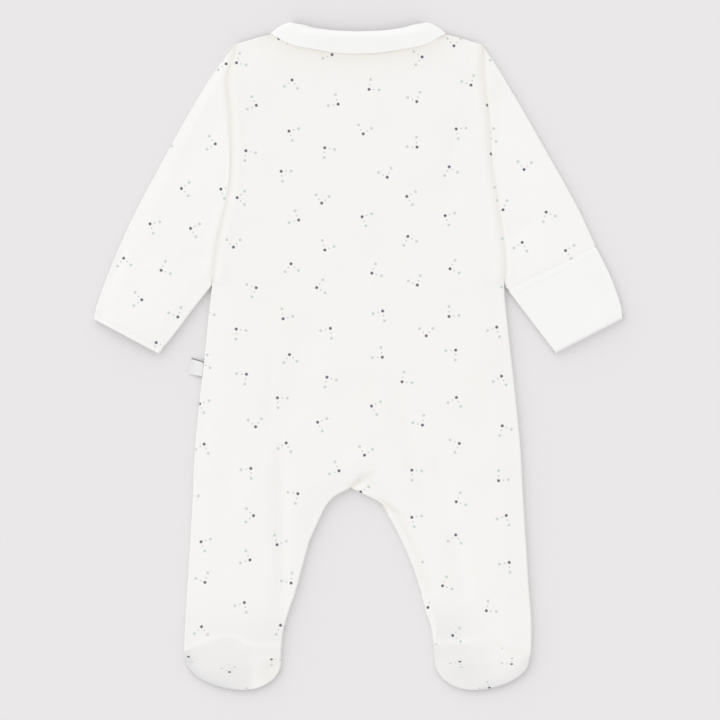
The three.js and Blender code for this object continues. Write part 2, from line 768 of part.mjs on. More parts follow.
// The collar: a flat bar of two layers carried round the neck, over each shoulder and under the front
function buildCollar() {
  const upperZ = bodyTop + seamGap + collarWall / 2;
  const lowerZ = collarWall / 2 + 0.05;
  const radius = (upperZ - lowerZ) / 2;
  const stationAt = (row, angle) => {
    const fallward = new THREE.Vector3(row.fallX - row.rollX, row.fallY - row.rollY, 0);
    const width = fallward.length();
    fallward.normalize();
    const outward = new THREE.Vector3(-fallward.y, fallward.x, 0);
    const face = outward.multiplyScalar(Math.sin(angle));
    face.z = Math.cos(angle);
    const roll = new THREE.Vector3(row.rollX, row.rollY, (upperZ + lowerZ) / 2);
    roll.addScaledVector(face, radius);
    return { roll, fallward, face, width };
  };
  const half = [
    ...collarBack.map((row) => stationAt(row, 0)),
    ...Array.from({ length: collarWrapSteps }, (_, i) =>
      stationAt(collarBack.at(-1), (Math.PI * (i + 1)) / collarWrapSteps),
    ),
    ...collarFront.map((row) => stationAt(row, Math.PI)),
  ];
  const mirrored = half.slice(1).map(({ roll, fallward, face, width }) => ({
    roll: roll.clone().setX(-roll.x),
    fallward: fallward.clone().setX(-fallward.x),
    face: face.clone().setX(-face.x),
    width,
  }));
  const stations = [...mirrored.reverse(), ...half];
  const edge = collarWall / 2;
  const section = [
    { d: 0, h: 0, from: "roll" },
    { d: 0.35, h: 0.7, from: "roll" },
    { d: 1.2, h: 1, from: "roll" },
    { d: 0.5, h: 0.5, from: "middle" },
    { d: -1, h: 0.75, from: "fall" },
    { d: 0, h: 0, from: "fall" },
    { d: -1, h: -1, from: "fall" },
    { d: 0.5, h: -1, from: "middle" },
    { d: 1.2, h: -1, from: "roll" },
    { d: 0.35, h: -0.7, from: "roll" },
  ];
  const base = { roll: 0, middle: 0.5, fall: 1 };
  const points = [];
  for (const { roll, fallward, face, width } of stations) {
    for (const { d, h, from } of section) {
      const height = from === "middle" ? Math.sign(h) : h;
      points.push(
        roll.clone().addScaledVector(fallward, base[from] * width + d).addScaledVector(face, height * edge),
      );
    }
  }
  const ring = section.length;
  const faces = [];
  for (let s = 0; s + 1 < stations.length; s += 1) {
    for (let k = 0; k < ring; k += 1) {
      const next = (k + 1) % ring;
      const a = s * ring + k;
      const b = s * ring + next;
      faces.push([a, b, b + ring], [a, b + ring, a + ring]);
    }
  }
  const lastRing = (stations.length - 1) * ring;
  for (let k = 1; k + 1 < ring; k += 1) {
    faces.push([0, k + 1, k], [lastRing, lastRing + k, lastRing + k + 1]);
  }
  return closedGeometry(points, faces);
}

// The label: a folded ribbon from the side seam down to the table
function buildLabel() {
  const columns = 5;
  const sheet = new Sheet().grid(
    3,
    columns + 1,
    (r, c) => {
      const down = r / 2;
      const out = c / columns;
      const inY = lerp(label.topIn, label.bottomIn, down);
      const inX = -sideX("left", inY) - seamGap - 0.1;
      const x = lerp(inX, lerp(label.outX[0], label.outX[1], down), out);
      const y = lerp(inY, lerp(label.outY[0], label.outY[1], down), out);
      const z = label.wall + 0.05 + label.drop * (1 - smoothstep(out, 0, 0.8));
      return { point: new THREE.Vector3(x, y, z), cut: new THREE.Vector3(1, 0, 0) };
    },
    { flip: true },
  );
  return sheet.wall(label.wall);
}

// A press stud's cap: a shallow disc with a rounded edge
function buildStud() {
  const profile = [
    [0, 0],
    [studRadius - 0.6, 0],
    [studRadius, 0.5],
    [studRadius - 0.2, studTop],
    [0, studTop],
  ].map(([r, z]) => new THREE.Vector2(r, z));
  const geometry = new THREE.LatheGeometry(profile, 20);
  return geometry.rotateX(Math.PI / 2);
}

// Materials
const printedJersey = new THREE.MeshStandardMaterial({ color: 0xf5f4ef, roughness: 0.95, metalness: 0 });
const plainJersey = new THREE.MeshStandardMaterial({ color: 0xf7f7f6, roughness: 0.95, metalness: 0 });
const ribbon = new THREE.MeshStandardMaterial({ color: 0xf2f2f0, roughness: 0.8, metalness: 0 });
const studPlastic = new THREE.MeshStandardMaterial({ color: 0xf4f4f2, roughness: 0.4, metalness: 0 });

const sleepsuit = new THREE.Group();
function addPiece(name, geometry, material) {
  const piece = new THREE.Mesh(geometry, material);
  piece.name = name;
  sleepsuit.add(piece);
  return piece;
}

addPiece("back", buildBack(), printedJersey);
addPiece("front_left", buildFront("left"), printedJersey);
addPiece("front_right", buildFront("right"), printedJersey);
addPiece("sleeve_left", buildSleeve("left"), printedJersey);
addPiece("sleeve_right", buildSleeve("right"), printedJersey);
addPiece("sole_left", buildSole("left"), printedJersey);
addPiece("sole_right", buildSole("right"), printedJersey);
addPiece("mitt_right", buildMitt(), plainJersey);
addPiece("collar", buildCollar(), plainJersey);
addPiece("side_label", buildLabel(), ribbon);
studLevels.forEach((y, i) => {
  const stud = addPiece("stud_" + (i + 1), buildStud(), studPlastic);
  stud.position.set(middleX(y), y, 0);
});

export default sleepsuit;
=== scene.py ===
"""A footed baby sleepsuit that lies flat on its front, seen from the back.

X runs across the body towards the wearer's right, Y runs up the body to the neck and Z is up from the table.
Shapes are worked out in millimetres, and go into the meshes in metres.
"""

import math

import bpy
import numpy as np
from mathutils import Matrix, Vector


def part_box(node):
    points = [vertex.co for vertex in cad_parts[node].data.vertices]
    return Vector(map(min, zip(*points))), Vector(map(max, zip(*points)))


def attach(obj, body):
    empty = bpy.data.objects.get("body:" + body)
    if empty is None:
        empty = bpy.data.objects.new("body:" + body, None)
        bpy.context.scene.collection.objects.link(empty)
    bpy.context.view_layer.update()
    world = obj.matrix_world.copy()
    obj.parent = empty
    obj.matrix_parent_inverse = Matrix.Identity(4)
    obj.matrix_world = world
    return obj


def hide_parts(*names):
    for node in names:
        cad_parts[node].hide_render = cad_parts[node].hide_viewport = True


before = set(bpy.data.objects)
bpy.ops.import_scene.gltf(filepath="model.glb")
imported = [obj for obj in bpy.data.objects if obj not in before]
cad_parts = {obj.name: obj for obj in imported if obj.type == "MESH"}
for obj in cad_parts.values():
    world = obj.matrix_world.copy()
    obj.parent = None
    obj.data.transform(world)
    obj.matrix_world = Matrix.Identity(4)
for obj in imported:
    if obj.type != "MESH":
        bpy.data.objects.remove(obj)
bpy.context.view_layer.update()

MM = 0.001


def table(names, *rows):
    """Rows of numbers as named columns."""
    return dict(zip(names.split(), np.array(rows, float).T))


# Cloth and seams. The sewn edges nearly touch.
CLOTH = 1.2
SEAM_GAP = 0.02
CLEARANCE = 0.05
BODY_TOP = 6.8
SLEEVE_TOP = 6.4
FRONT_RIM = 2.3
BACK_RIM = FRONT_RIM + SEAM_GAP
BACK_ROUND = 7
FRONT_ROUND = 1.2
SEAM_DIP = 0.56
SEAM_DIP_WIDTH = 8
SEAM_LINE = 0.12
SEAM_LINE_WIDTH = 1.4
# Width of the cream shade painted along a seam
SEAM_TONE_WIDTH = 5.5
EDGE_ROUND = 0.95
EDGE_SHARE = 0.78
TOE_SHARE = 0.5
CROWN = 22
SOLE_CROWN = 24
SLEEVE_CROWN = 18

# Beside a seam: the seam allowance below the cloth, puckers, and a strip in which waves fade out
ALLOWANCE = 0.4
ALLOWANCE_RISE, ALLOWANCE_FALL = (2, 4.5), (8.5, 10)
ALLOWANCE_WAVE = 55
PUCKER = 0.22
PUCKER_SPACING = 9
PUCKER_FROM, PUCKER_REACH = 1.5, 5
CALM_WIDTH = 1.8
SEAM_CALM = 0.5

# Share of a full seam's depth at the two flatter seams
HEEL_SEAM = 0.12
INSEAM_SEAM = 0.05

# Painted shade: cream shade painted in seams and folds, below the collar, beside the heel's seam and at
# the inner side of a sole, grey shade painted at the inner and outer side of each foot and across each
# sole. Spans are distances across from the middle line, and down from Y = 0 for a foot or from the heel's
# seam for a sole.
DEPTH_TONE = 0.74
STRIP_TONE = 0.6
HEEL_TONE, HEEL_TONE_WIDTH = 0.22, 9
NECK_SHADE_WIDTH = 7
FOOT_SHADE = {"left": (0.2, 0.18), "right": (0.42, 0.02)}
FOOT_SHADE_ACROSS, FOOT_SHADE_DOWN = (62, 118), (192, 238)
SOLE_SHADE = {"left": (0.33, 0.3), "right": (0.41, 0.05)}
SOLE_SHADE_ACROSS = (76, 128)
TOE_SHADE, TOE_SHADE_WIDTH, TOE_SHADE_ACROSS = 0.5, 6, (84, 116)
# Cream shade painted at the inner side of each sole, with its spans across and down
INNER_CREAM_SHADE = {"left": 0.75, "right": 0.1}
INNER_SHADE_ACROSS, INNER_SHADE_DOWN = (74, 96), (0, 14)

# Rows and columns of the grids, and points along their edges
BACK_STEP, FRONT_STEP = 2.6, 4
BACK_COLUMNS, FRONT_COLUMNS, SOLE_COLUMNS = 42, 26, 34
UPPER_COLUMNS, LOWER_COLUMNS = 38, 20
CROTCH_ABOVE, CROTCH_BELOW = 9, 15
MIDDLE_CLOSE = 24
SIDE_POINTS, INSEAM_POINTS, TOP_POINTS, HEEL_POINTS = 400, 200, 160, 60
TOE_POINTS, ROUND_TOE_POINTS, SOLE_SIDE_POINTS, SOLE_ROWS = 120, 160, 30, 34
ARM_ROWS = np.append((0, 0.006, 0.014, 0.026), np.linspace(0.04, 1, 44, endpoint=False))
ABOVE_MITT_ROWS = (14, 11, 8)
HEM_ROWS = (6.2, 5.6, 5.2, 4.8, 4.4, 3.8, 2.6, 1.2, 0.4, 0)
MITT_ROWS, MITT_FOLD_ROWS = 26, 8
COLLAR_STATIONS, COLLAR_AROUND = 121, 57
LABEL_ROWS, LABEL_COLUMNS = 14, 61
STUD_COLUMNS = 49

# Levels of the body, measured up it
SHOULDER_Y = 262
UNDERARM_Y = 148
SLEEVE_LEAVES_Y = 58.7
CROTCH_X, CROTCH_Y = -6.3, -110.2
HEEL_Y = -241
FOOT_SIDE_Y = -256
TOE_Y = -279.9
TOE_PEAK_X = 97
TOE_ROUNDNESS = {"inner": 2, "outer": 1.8}
BELOW_HEEL_Y = -262
SHOULDER_END_X = 103.5
HEEL_SPAN = (64, 146)
HEEL_BOW_FROM = 215
TOE_BOW_FROM = 226
BACK_RISE_FROM, FRONT_RISE_FROM = 170, 120
LEG_BLEND = 110
TOEWARD = (2, 18)
SOLE_CUT_STRETCH = 1.7

# Spans in which an edge turns from a seam to a rim, below the underarm and beside the collar
SIDE_TURN = (SLEEVE_LEAVES_Y + 0.5, SLEEVE_LEAVES_Y + 7)
TOP_TURN = (58, 75)

# Side of the body and leg: distance from the middle line at each level
SIDE = table(
    "y left right",
    (-256, 144, 143.5),
    (-247, 146, 145.2),
    (-221, 145, 145.5),
    (-188, 143, 143),
    (-154, 140.8, 141),
    (-120, 139, 138.8),
    (-78, 137, 136.5),
    (-36, 133, 132.5),
    (5, 128.5, 128),
    (31, 126, 125.2),
    (58, 123, 122.8),
    (75, 121.4, 124),
    (98, 118.3, 122.2),
    (133, 110, 117.4),
    (165, 107, 112.6),
    (200, 107.8, 110),
    (235, 109.5, 106),
    (262, 103, 104),
)

# Inside of each leg from the crotch down, and the edge of the front where it shows beside the right leg
INSEAM = table(
    "y left right right_front",
    (-256, 64.6, 64.5, 64.5),
    (-244, 64.3, 63.5, 63.4),
    (-229, 62.4, 65.8, 61.7),
    (-214, 58.3, 63, 56.7),
    (-200, 53.3, 58, 53.2),
    (-188, 49.8, 54, 49.7),
    (-175, 46.4, 51, 45.2),
    (-163, 43.2, 47.6, 40.2),
    (-154, 40.5, 42.3, 36),
    (-143, 35.6, 36.6, 30.6),
    (-134, 31.5, 28.4, 25.4),
    (-123, 25.5, 18.6, 18.6),
    (-116, 17.8, 5.7, 5.7),
    (CROTCH_Y, -CROTCH_X, CROTCH_X, CROTCH_X),
)
FRONT_INSEAM = {"left": "left", "right": "right_front"}
STRIP_FROM_Y = -124.3
STRIP_GAP = 0.004
NO_STRIP = 0.01
STRIP_TURN = (0.6, 2.5)

# Top edge of the back, from the middle of the neck to the end of the shoulder
TOP = table(
    "x y",
    (0, 267.5),
    (36, 269.3),
    (50, 271.3),
    (60, 271.8),
    (70, 271.1),
    (80, 269.1),
    (90, 266.3),
    (104, 262),
)
NECK_CORNER = 63
FRONT_NECK_Y = 228
FRONT_TUCK = 3
TUCK_FADE = (92, 103)
NECK_OVAL = (2.6, 2.2)

# Seam between the back of each leg and its sole
HEEL = {
    "left": table("x y", (64, -243.8), (81, -244.6), (94, -241.8), (108, -236), (125, -239.6), (146, -247)),
    "right": table("x y", (64, -240.4), (91, -240.2), (106, -238.9), (117, -242), (124, -247), (146, -250.5)),
}

# Sleeve edges: distance from the middle line at each level
SLEEVE_OUTER = table(
    "y left right",
    (31.8, 221.8, 221.8),
    (43, 219.4, 220.6),
    (69, 210, 211.3),
    (91, 201, 200.4),
    (126, 184.6, 184),
    (169, 161.6, 160),
    (210, 138.7, 136.6),
    (243, 118, 116.8),
    (262, 103, 104),
)
SLEEVE_INNER = table(
    "y left right",
    (2.8, 167.5, 166.1),
    (22, 151.9, 151.2),
    (40.5, 138.1, 137),
    (58.7, 123.6, 123.4),
)
CUFF_OUTER_Y = 31.8
CUFF_INNER_Y = 2.8
HEM_DEPTH = 5
HEM_EXTRA = 0.3
HEM_STEP = (HEM_DEPTH - 0.7, HEM_DEPTH + 0.3)
HEM_GROOVE, HEM_GROOVE_WIDTH = 0.22, 0.8
CUFF_INSET = 3.6
SLEEVE_LENGTH = {"inner": 178, "outer": 245}
UPPER_ROUND = 6
LOWER_ROUND = 3
MITT_DEPTH = 64
MITT_FOLD = 1.8
MITT_WALL = 0.7
MITT_INSET = MITT_WALL + CLEARANCE
MITT_RISE = 0.38
MITT_PRESS = 0.42
MITT_EDGE_ROWS, MITT_EDGE_DROP = (0, 0.6, 1.6, 3), (0.16, 0.06, 0.02, 0)
MITT_FOLD_END = 0.2
MIDDLE_HEIGHT = FRONT_RIM + SEAM_GAP / 2
SEAM_LEVEL_WIDTH = 16
SLEEVE_FREE_TOP = SLEEVE_TOP - 1.6
MITT_STEP = (MITT_DEPTH, MITT_DEPTH + 3)
MITT_EDGE_END = MITT_DEPTH - 5

# Rows of a sleeve from the last of ABOVE_MITT_ROWS on: where they begin and end above the cuff, and how many
LOWER_SLEEVE_ROWS = {"left": (MITT_DEPTH + 6, HEM_DEPTH + 2, 24), "right": (MITT_DEPTH + 6, CUFF_INSET, 26)}

# The collar: its roll and its fall, from the middle of the back to the front opening
COLLAR_WALL = 2
COLLAR_BACK = table(
    "roll_x roll_y fall_x fall_y",
    (0, 272.8, 0, 253.8),
    (20, 273.6, 18, 254.7),
    (37, 275.8, 34, 257.2),
    (46, 278.3, 55, 261.4),
    (54.5, 279.3, 72.2, 270.2),
)
COLLAR_FRONT = table(
    "roll_x roll_y fall_x fall_y",
    (55, 268, 72, 260),
    (51, 256, 67, 247),
    (42, 243, 55, 230),
    (30, 234, 38, 217.5),
    (18, 229.5, 20, 211),
)
COLLAR_WRAP_STEPS = 6
COLLAR_BULGE = 2.3
COLLAR_THINNING = 0.55
COLLAR_DROOP = 0.9
COLLAR_BACK_ANGLES, COLLAR_WRAP_FROM = (0, 0, 0.05, 0.28), 0.82
COLLAR_FULLNESS = (0.26, 0.42)
COLLAR_DROOP_BEYOND, COLLAR_DROOP_ACROSS, COLLAR_DROOP_ABOVE = (0, 5.5), (44, 60), (3, 6)
COLLAR_CUT_WIDTH = 20

# Front opening
LAP_HALF = 10
LAP_RAMP = 6
STUD_TOP = 1.2
LAP_OUTER = STUD_TOP + SEAM_GAP
LAP_INNER = LAP_OUTER + 1.5 + SEAM_GAP
LAP_CREST = 0.4
LAP_SLOPE = (LAP_HALF + 0.6, LAP_HALF + LAP_RAMP)
BESIDE_LAP = (LAP_HALF + 1, LAP_HALF + 5)
LAP_FROM, LAP_TO, LAP_FLAT = -64, -84, -104
OVER_COLLAR = COLLAR_WALL + 2 * SEAM_GAP
OVER_COLLAR_FADE = (20, 33)
OVER_COLLAR_END = (86, 100)
FRONT_CUT_X, STRIP_CUT_X = 400, -200

# Section of a press stud's cap, from its axis: radius and height
STUD_CUT_WIDTH = 4
STUD_PROFILE = np.array([
    (0, 0.35), (1.6, 0.32), (2.5, 0.2), (3.0, 0.05), (3.7, 0), (4.2, 0.12), (4.45, 0.45),
    (4.45, 0.8), (4.3, 1.1), (3.9, STUD_TOP), (2, STUD_TOP), (0, STUD_TOP),
])

LABEL = {
    "wall": 1,
    "top_in": -4.2,
    "bottom_in": -16.4,
    "out_x": (-139.8, -142.6),
    "out_y": (-1, -14.4),
    "drop": 1.9,
    "rise": 0.15,
    "fold": (0.46, 0.54),
    "fold_reach": 0.03,
    "length": 34,
    "width": 16,
}
RIBBON = 0.35

# Stitches
STITCH_LENGTH = 2.1
STITCH_PITCH = 2.7
STITCH_WIDTH = 0.42
STITCH_HEIGHT = 0.16
STITCH_LIFT = 0.04
STITCH_FULLNESS = 0.7
STITCH_SLOPE_REACH = 0.5
MITT_STITCH_DEPTH = 4.5
CUFF_STITCH_DEPTH, CUFF_STITCH_DROP = HEM_DEPTH - 0.6, (0, 0, 0.05)
STITCHED_COLUMNS = slice(6, -6)

# Folds of the back: a line from end to end, with its width, its height, below zero for a trough, and the
# share of cream shade painted in it. They fade in and out over these shares of their length.
FOLD_IN, FOLD_OUT = (-0.12, 0.3), (0.75, 1.12)
FOLDS = table(
    "x1 y1 x2 y2 width height tone",
    (-66, -62, -63.5, -222, 6, -1.25, 0.08),
    (-74, 0, -74, -225, 6, 0.3, 0),
    (28, -20, 64, -145, 8, -0.85, 0.06),
    (60, -60, 92, -215, 9, -0.9, 0),
    (5, -101, -9, -113, 2.1, -1.9, 0.95),
    (17, -96, 1, -104, 2.8, -0.8, 0.5),
    (14, -107, 3, -103, 3.4, -0.2, 0.45),
    (-3, -80, -2, -106, 8, 0.7, 0),
    (17, -119, 37, -134, 2.4, -0.9, 0.9),
    (31, -127, 46, -158, 3, -0.4, 0.4),
    (46, -150, 60, -200, 4, -0.2, 0.14),
    (82, -154, 90, -204, 6, -0.45, 0),
    (-108, -60, -118, -200, 12, -0.6, 0),
    (-40, 40, -60, -60, 14, -0.6, 0),
    (88, 205, 70, 120, 12, -0.7, 0),
    (-72, 10, -75, -80, 4, -0.5, 0),
)

# Creases of each sleeve, as the folds of the back
SLEEVE_FOLDS = {
    "left": table(
        "x1 y1 x2 y2 width height tone",
        (-196, 92, -208, 62, 3.5, -0.5, 0.1),
        (-212, 36, -224, 30, 4, -0.5, 0),
        (-205, 30, -214, 44, 3, -0.35, 0),
        (-112, 205, -150, 150, 10, -0.5, 0),
        (-118, 110, -150, 128, 9, -0.45, 0),
        (-128, 75, -146, 88, 7, -0.35, 0),
    ),
    "right": table(
        "x1 y1 x2 y2 width height tone",
        (112, 215, 128, 222, 4, -0.4, 0.1),
        (112, 222, 126, 232, 3, -0.35, 0.1),
        (112, 200, 150, 150, 10, -0.45, 0),
        (124, 98, 152, 118, 9, -0.5, 0),
        (172, 55, 158, 22, 6, -0.3, 0),
        (200, 70, 212, 58, 4, -0.35, 0),
    ),
}

HAND = {"left": -1, "right": 1}


# Curves and blends

def look_up(rows, at, key, value):
    """Cubic pieces through a table's rows. Each leaves and arrives at the slope between its row's
    neighbours."""
    keys, values = rows[key], rows[value]
    at = np.asarray(at, float)
    last = len(keys) - 1
    order = np.arange(last + 1)
    low, high = np.maximum(order - 1, 0), np.minimum(order + 1, last)
    slope = (values[high] - values[low]) / (keys[high] - keys[low])
    i = np.clip(np.searchsorted(keys, at, side="left") - 1, 0, last - 1)
    span = keys[i + 1] - keys[i]
    t = np.clip((at - keys[i]) / span, 0, 1)
    bend = t * t * (3 - 2 * t)
    leave = t * (1 - t) ** 2 * span * slope[i]
    arrive = t * t * (t - 1) * span * slope[i + 1]
    return values[i] + (values[i + 1] - values[i]) * bend + leave + arrive


def lerp(a, b, t):
    return a + (b - a) * t


def smoothstep(value, low, high):
    """0 below low, 1 above high, and a smooth rise between them."""
    t = np.clip((value - low) / (high - low), 0, 1)
    return t * t * (3 - 2 * t)


def rounded_rise(q):
    """Height along a quarter circle of radius 1, at the distance q from its foot."""
    return np.sqrt(1 - (1 - np.clip(q, 0, 1)) ** 2)


def bell(q):
    """Half a cosine wave from 1 at the middle to 0 at q = 1."""
    return (1 + np.cos(np.pi * np.clip(q, 0, 1))) / 2


def hump(q):
    """Bell without an end: e to the power of minus q squared."""
    return np.exp(-(q ** 2))


def between(value, rise, fall):
    """1 between two spans, with a smooth rise over the first and a smooth fall over the second."""
    return smoothstep(value, *rise) * (1 - smoothstep(value, *fall))


def stack(*parts):
    return np.stack(np.broadcast_arrays(*parts), axis=-1).astype(float)


def unit(vectors):
    return vectors / np.maximum(np.linalg.norm(vectors, axis=-1, keepdims=True), 1e-9)


def travelled(line):
    """Length of a line from its start to each of its points."""
    return np.append(0, np.cumsum(np.linalg.norm(np.diff(line, axis=0), axis=1)))


def side_x(side, y):
    return look_up(SIDE, y, "y", side)


def top_y(x):
    return look_up(TOP, np.abs(x), "x", "y")


def inseam_x(column, y):
    return look_up(INSEAM, y, "y", column)


def heel_y(side, x):
    return look_up(HEEL[side], x, "x", "y")


def heel_share(level):
    """How far a row follows the bow of the heel's seam."""
    return smoothstep(-level, HEEL_BOW_FROM, -HEEL_Y)


def half_turn(count):
    """Shares from 0 to 1 that are close together at both ends."""
    return (1 - np.cos(np.linspace(0, np.pi, count))) / 2


def middle_x(y):
    return CROTCH_X * np.clip((SHOULDER_Y - y) / (SHOULDER_Y - CROTCH_Y), 0, 1)


def toe_edge_y(x, inner_x, outer_x):
    """Round end of a foot: half of a flattened circle, whose peak is nearer the inside of the foot."""
    inner = x < TOE_PEAK_X
    power = np.where(inner, TOE_ROUNDNESS["inner"], TOE_ROUNDNESS["outer"])
    reach = np.where(inner, TOE_PEAK_X - inner_x, outer_x - TOE_PEAK_X)
    q = np.clip(np.abs(x - TOE_PEAK_X) / reach, 0, 1)
    return FOOT_SIDE_Y + (TOE_Y - FOOT_SIDE_Y) * (1 - q ** power) ** (1 / power)


def front_top_y(x):
    """Top edge of the front: tucked inside the shoulder of the back, then half an oval down to the neck."""
    across = np.abs(x)
    shoulder = top_y(across) - FRONT_TUCK * (1 - smoothstep(across, *TUCK_FADE))
    q = np.clip(across / NECK_CORNER, 0, 1)
    bend = 1 - (1 - q ** NECK_OVAL[0]) ** (1 / NECK_OVAL[1])
    oval = lerp(FRONT_NECK_Y, top_y(NECK_CORNER) - FRONT_TUCK, bend)
    return np.where(across >= NECK_CORNER, shoulder, oval)


def soft_waves(x, y, seed, size=0.1, shortest=45, longest=130, count=9):
    """Sum of sine waves in random directions: the slight unevenness of cloth smoothed out by hand."""
    random = np.random.default_rng(seed)
    total = np.zeros(np.broadcast(x, y).shape)
    for _ in range(count):
        direction = random.uniform(0, 2 * np.pi)
        length = random.uniform(shortest, longest)
        phase = random.uniform(0, 2 * np.pi)
        along = x * np.cos(direction) + y * np.sin(direction)
        total += size * np.sin(2 * np.pi * along / length + phase)
    return total


def uneven(along, seed, spacing):
    """A value of about 0 to 1 that rises and falls unevenly along a line, about once every `spacing`."""
    random = np.random.default_rng(seed)
    total = np.zeros(np.shape(along))
    for ratio in (0.57, 0.83, 1, 1.37, 1.71):
        total += np.sin(2 * np.pi * along / (spacing * ratio) + random.uniform(0, 2 * np.pi))
    return 0.5 + total / 8


# Edges of pieces. An edge is a row of places, x and y, with a turn: 1 where the cloth turns into the
# flat's outer rim, 0 where it stays level because another piece is sewn on beside it.

def nearest_on(edge, x, y):
    """Distance from each place to an edge of short straight steps, with the edge's turn and length there."""
    best = np.full(x.shape, np.inf)
    turn = np.zeros(x.shape)
    along = np.zeros(x.shape)
    done = 0.0
    for (ax, ay, a_turn), (bx, by, b_turn) in zip(edge[:-1], edge[1:]):
        dx, dy = bx - ax, by - ay
        length = math.hypot(dx, dy) or 1e-6
        t = np.clip(((x - ax) * dx + (y - ay) * dy) / length ** 2, 0, 1)
        square = (x - ax - t * dx) ** 2 + (y - ay - t * dy) ** 2
        closer = square < best
        best = np.where(closer, square, best)
        turn = np.where(closer, lerp(a_turn, b_turn, t), turn)
        along = np.where(closer, done + t * length, along)
        done += length
    return np.sqrt(best), turn, along


def side_turn(y):
    return 1 - smoothstep(y, *SIDE_TURN)


def top_turn(x):
    return smoothstep(np.abs(x), *TOP_TURN)


def side_edge(side, low):
    y = np.linspace(low, SHOULDER_Y, SIDE_POINTS)
    return stack(HAND[side] * side_x(side, y), y, side_turn(y))


def inseam_edge(side, column, low, turn=1):
    y = np.linspace(low, CROTCH_Y, INSEAM_POINTS)
    return stack(HAND[side] * inseam_x(column, y), y, turn)


def back_top_edge():
    x = np.linspace(-SHOULDER_END_X, SHOULDER_END_X, TOP_POINTS)
    return stack(x, top_y(x), top_turn(x))


def heel_bow(side, across):
    return heel_y(side, across) - HEEL_Y


def heel_edge(side):
    x = np.linspace(*HEEL_SPAN, HEEL_POINTS)
    return stack(HAND[side] * x, heel_y(side, x), 0)


# Grids, walls and meshes

ROUND_STEPS = 1 - np.cos(np.radians(np.linspace(0, 90, 10)))


def column_places(width, even_count, first, last):
    """Places across a strip of cloth, from its first edge: close ones near both edges and even ones
    between."""
    width = np.asarray(width, float)[..., None]
    first = np.broadcast_to(first, width.shape[:-1] + np.shape(first)[-1:])
    last = np.broadcast_to(last, width.shape[:-1] + np.shape(last)[-1:])
    start, stop = first[..., -1:], width - last[..., -1:]
    between = start + (stop - start) * np.arange(1, even_count) / even_count
    return np.concatenate([first, between, width - last[..., ::-1]], axis=-1)


def level_rows(top_round, bottom, step):
    """Levels down the back or the front: close at the top edge and one a millimetre at the crotch."""
    top = SHOULDER_Y - ROUND_STEPS[:-1] * top_round
    body_from, body_to, leg_from = SHOULDER_Y - top_round, CROTCH_Y + CROTCH_ABOVE, CROTCH_Y - CROTCH_BELOW
    body = np.linspace(body_from, body_to, round((body_from - body_to) / step), endpoint=False)
    crotch = np.linspace(body_to, CROTCH_Y, CROTCH_ABOVE, endpoint=False)
    below = np.linspace(CROTCH_Y, leg_from, CROTCH_BELOW, endpoint=False)
    leg = np.linspace(leg_from, bottom, round((leg_from - bottom) / step))
    return np.concatenate([top, body, crotch, below, leg])


class Cloth:
    """Outer points of a piece in millimetres, its four-sided faces, the cut's place at each corner of them,
    the tone at each point, and at points on a cut edge the direction across the cut."""

    def __init__(self):
        self.points, self.cuts, self.places, self.tones, self.faces = [], [], [], [], []
        self.count = 0

    def grid(self, points, places, cuts=None, tone=None, flip=False):
        """Adds a grid: points (rows, columns, 3), places on the cut (rows, columns, 2)."""
        rows, columns = points.shape[:2]
        index = self.count + np.arange(rows * columns).reshape(rows, columns)
        corners = index[:-1, :-1], index[1:, :-1], index[1:, 1:], index[:-1, 1:]
        faces = np.stack(corners, axis=-1).reshape(-1, 4)
        self.faces.append(faces[:, ::-1] if flip else faces)
        self.points.append(points.reshape(-1, 3))
        self.places.append(places.reshape(-1, 2))
        self.cuts.append(np.zeros((rows * columns, 3)) if cuts is None else cuts.reshape(-1, 3))
        self.tones.append(np.zeros(rows * columns) if tone is None else tone.reshape(-1))
        self.count += rows * columns
        return self

    def merged(self):
        """Points at the same place become one, so that grids join along shared lines."""
        points, places = np.concatenate(self.points), np.concatenate(self.places)
        cuts, tones = np.concatenate(self.cuts), np.concatenate(self.tones)
        corners = np.concatenate(self.faces)
        keys = np.round(points * 1000).astype(int)
        _, first, same = np.unique(keys, axis=0, return_index=True, return_inverse=True)
        same = same.reshape(-1)
        cut_of = np.zeros((len(first), 3))
        marked = np.flatnonzero(np.abs(cuts).sum(1) > 0)
        order = marked[np.argsort(np.abs(cuts[marked, 2]), kind="stable")]
        cut_of[same[order]] = cuts[order]
        return points[first], same[corners], places[corners], cut_of, tones[first], places[first]

    def solid(self):
        """The piece as it is, where its grid already closes on itself."""
        points, faces, corner_places, _, tones, _ = self.merged()
        return points, faces, corner_places, tones

    def wall(self, thickness=CLOTH, lowest=0.0):
        """Closed wall: the sheet, a copy moved in by the thickness but not below `lowest`, and a strip along
        every open edge."""
        points, faces, corner_places, cut_of, tones, flat = self.merged()
        a, b, c, d = (points[faces[:, k]] for k in range(4))
        across = np.cross(c - a, d - b)
        normals = np.zeros_like(points)
        for k in range(4):
            np.add.at(normals, faces[:, k], across)
        normals = unit(normals)
        normals -= cut_of * (normals * cut_of).sum(1, keepdims=True)
        inside = points - thickness * unit(normals)
        inside[:, 2] = np.maximum(inside[:, 2], lowest)
        count = len(points)
        start, stop = faces.reshape(-1), np.roll(faces, -1, axis=1).reshape(-1)
        open_edge = (start != stop) & ~np.isin(start * count + stop, stop * count + start)
        s, e = start[open_edge], stop[open_edge]
        rim = np.stack([e, s, s + count, e + count], axis=1)
        all_faces = np.concatenate([faces, faces[:, ::-1] + count, rim])
        all_places = np.concatenate([corner_places, corner_places[:, ::-1], flat[rim % count]])
        return np.concatenate([points, inside]), all_faces, all_places, np.concatenate([tones, tones])


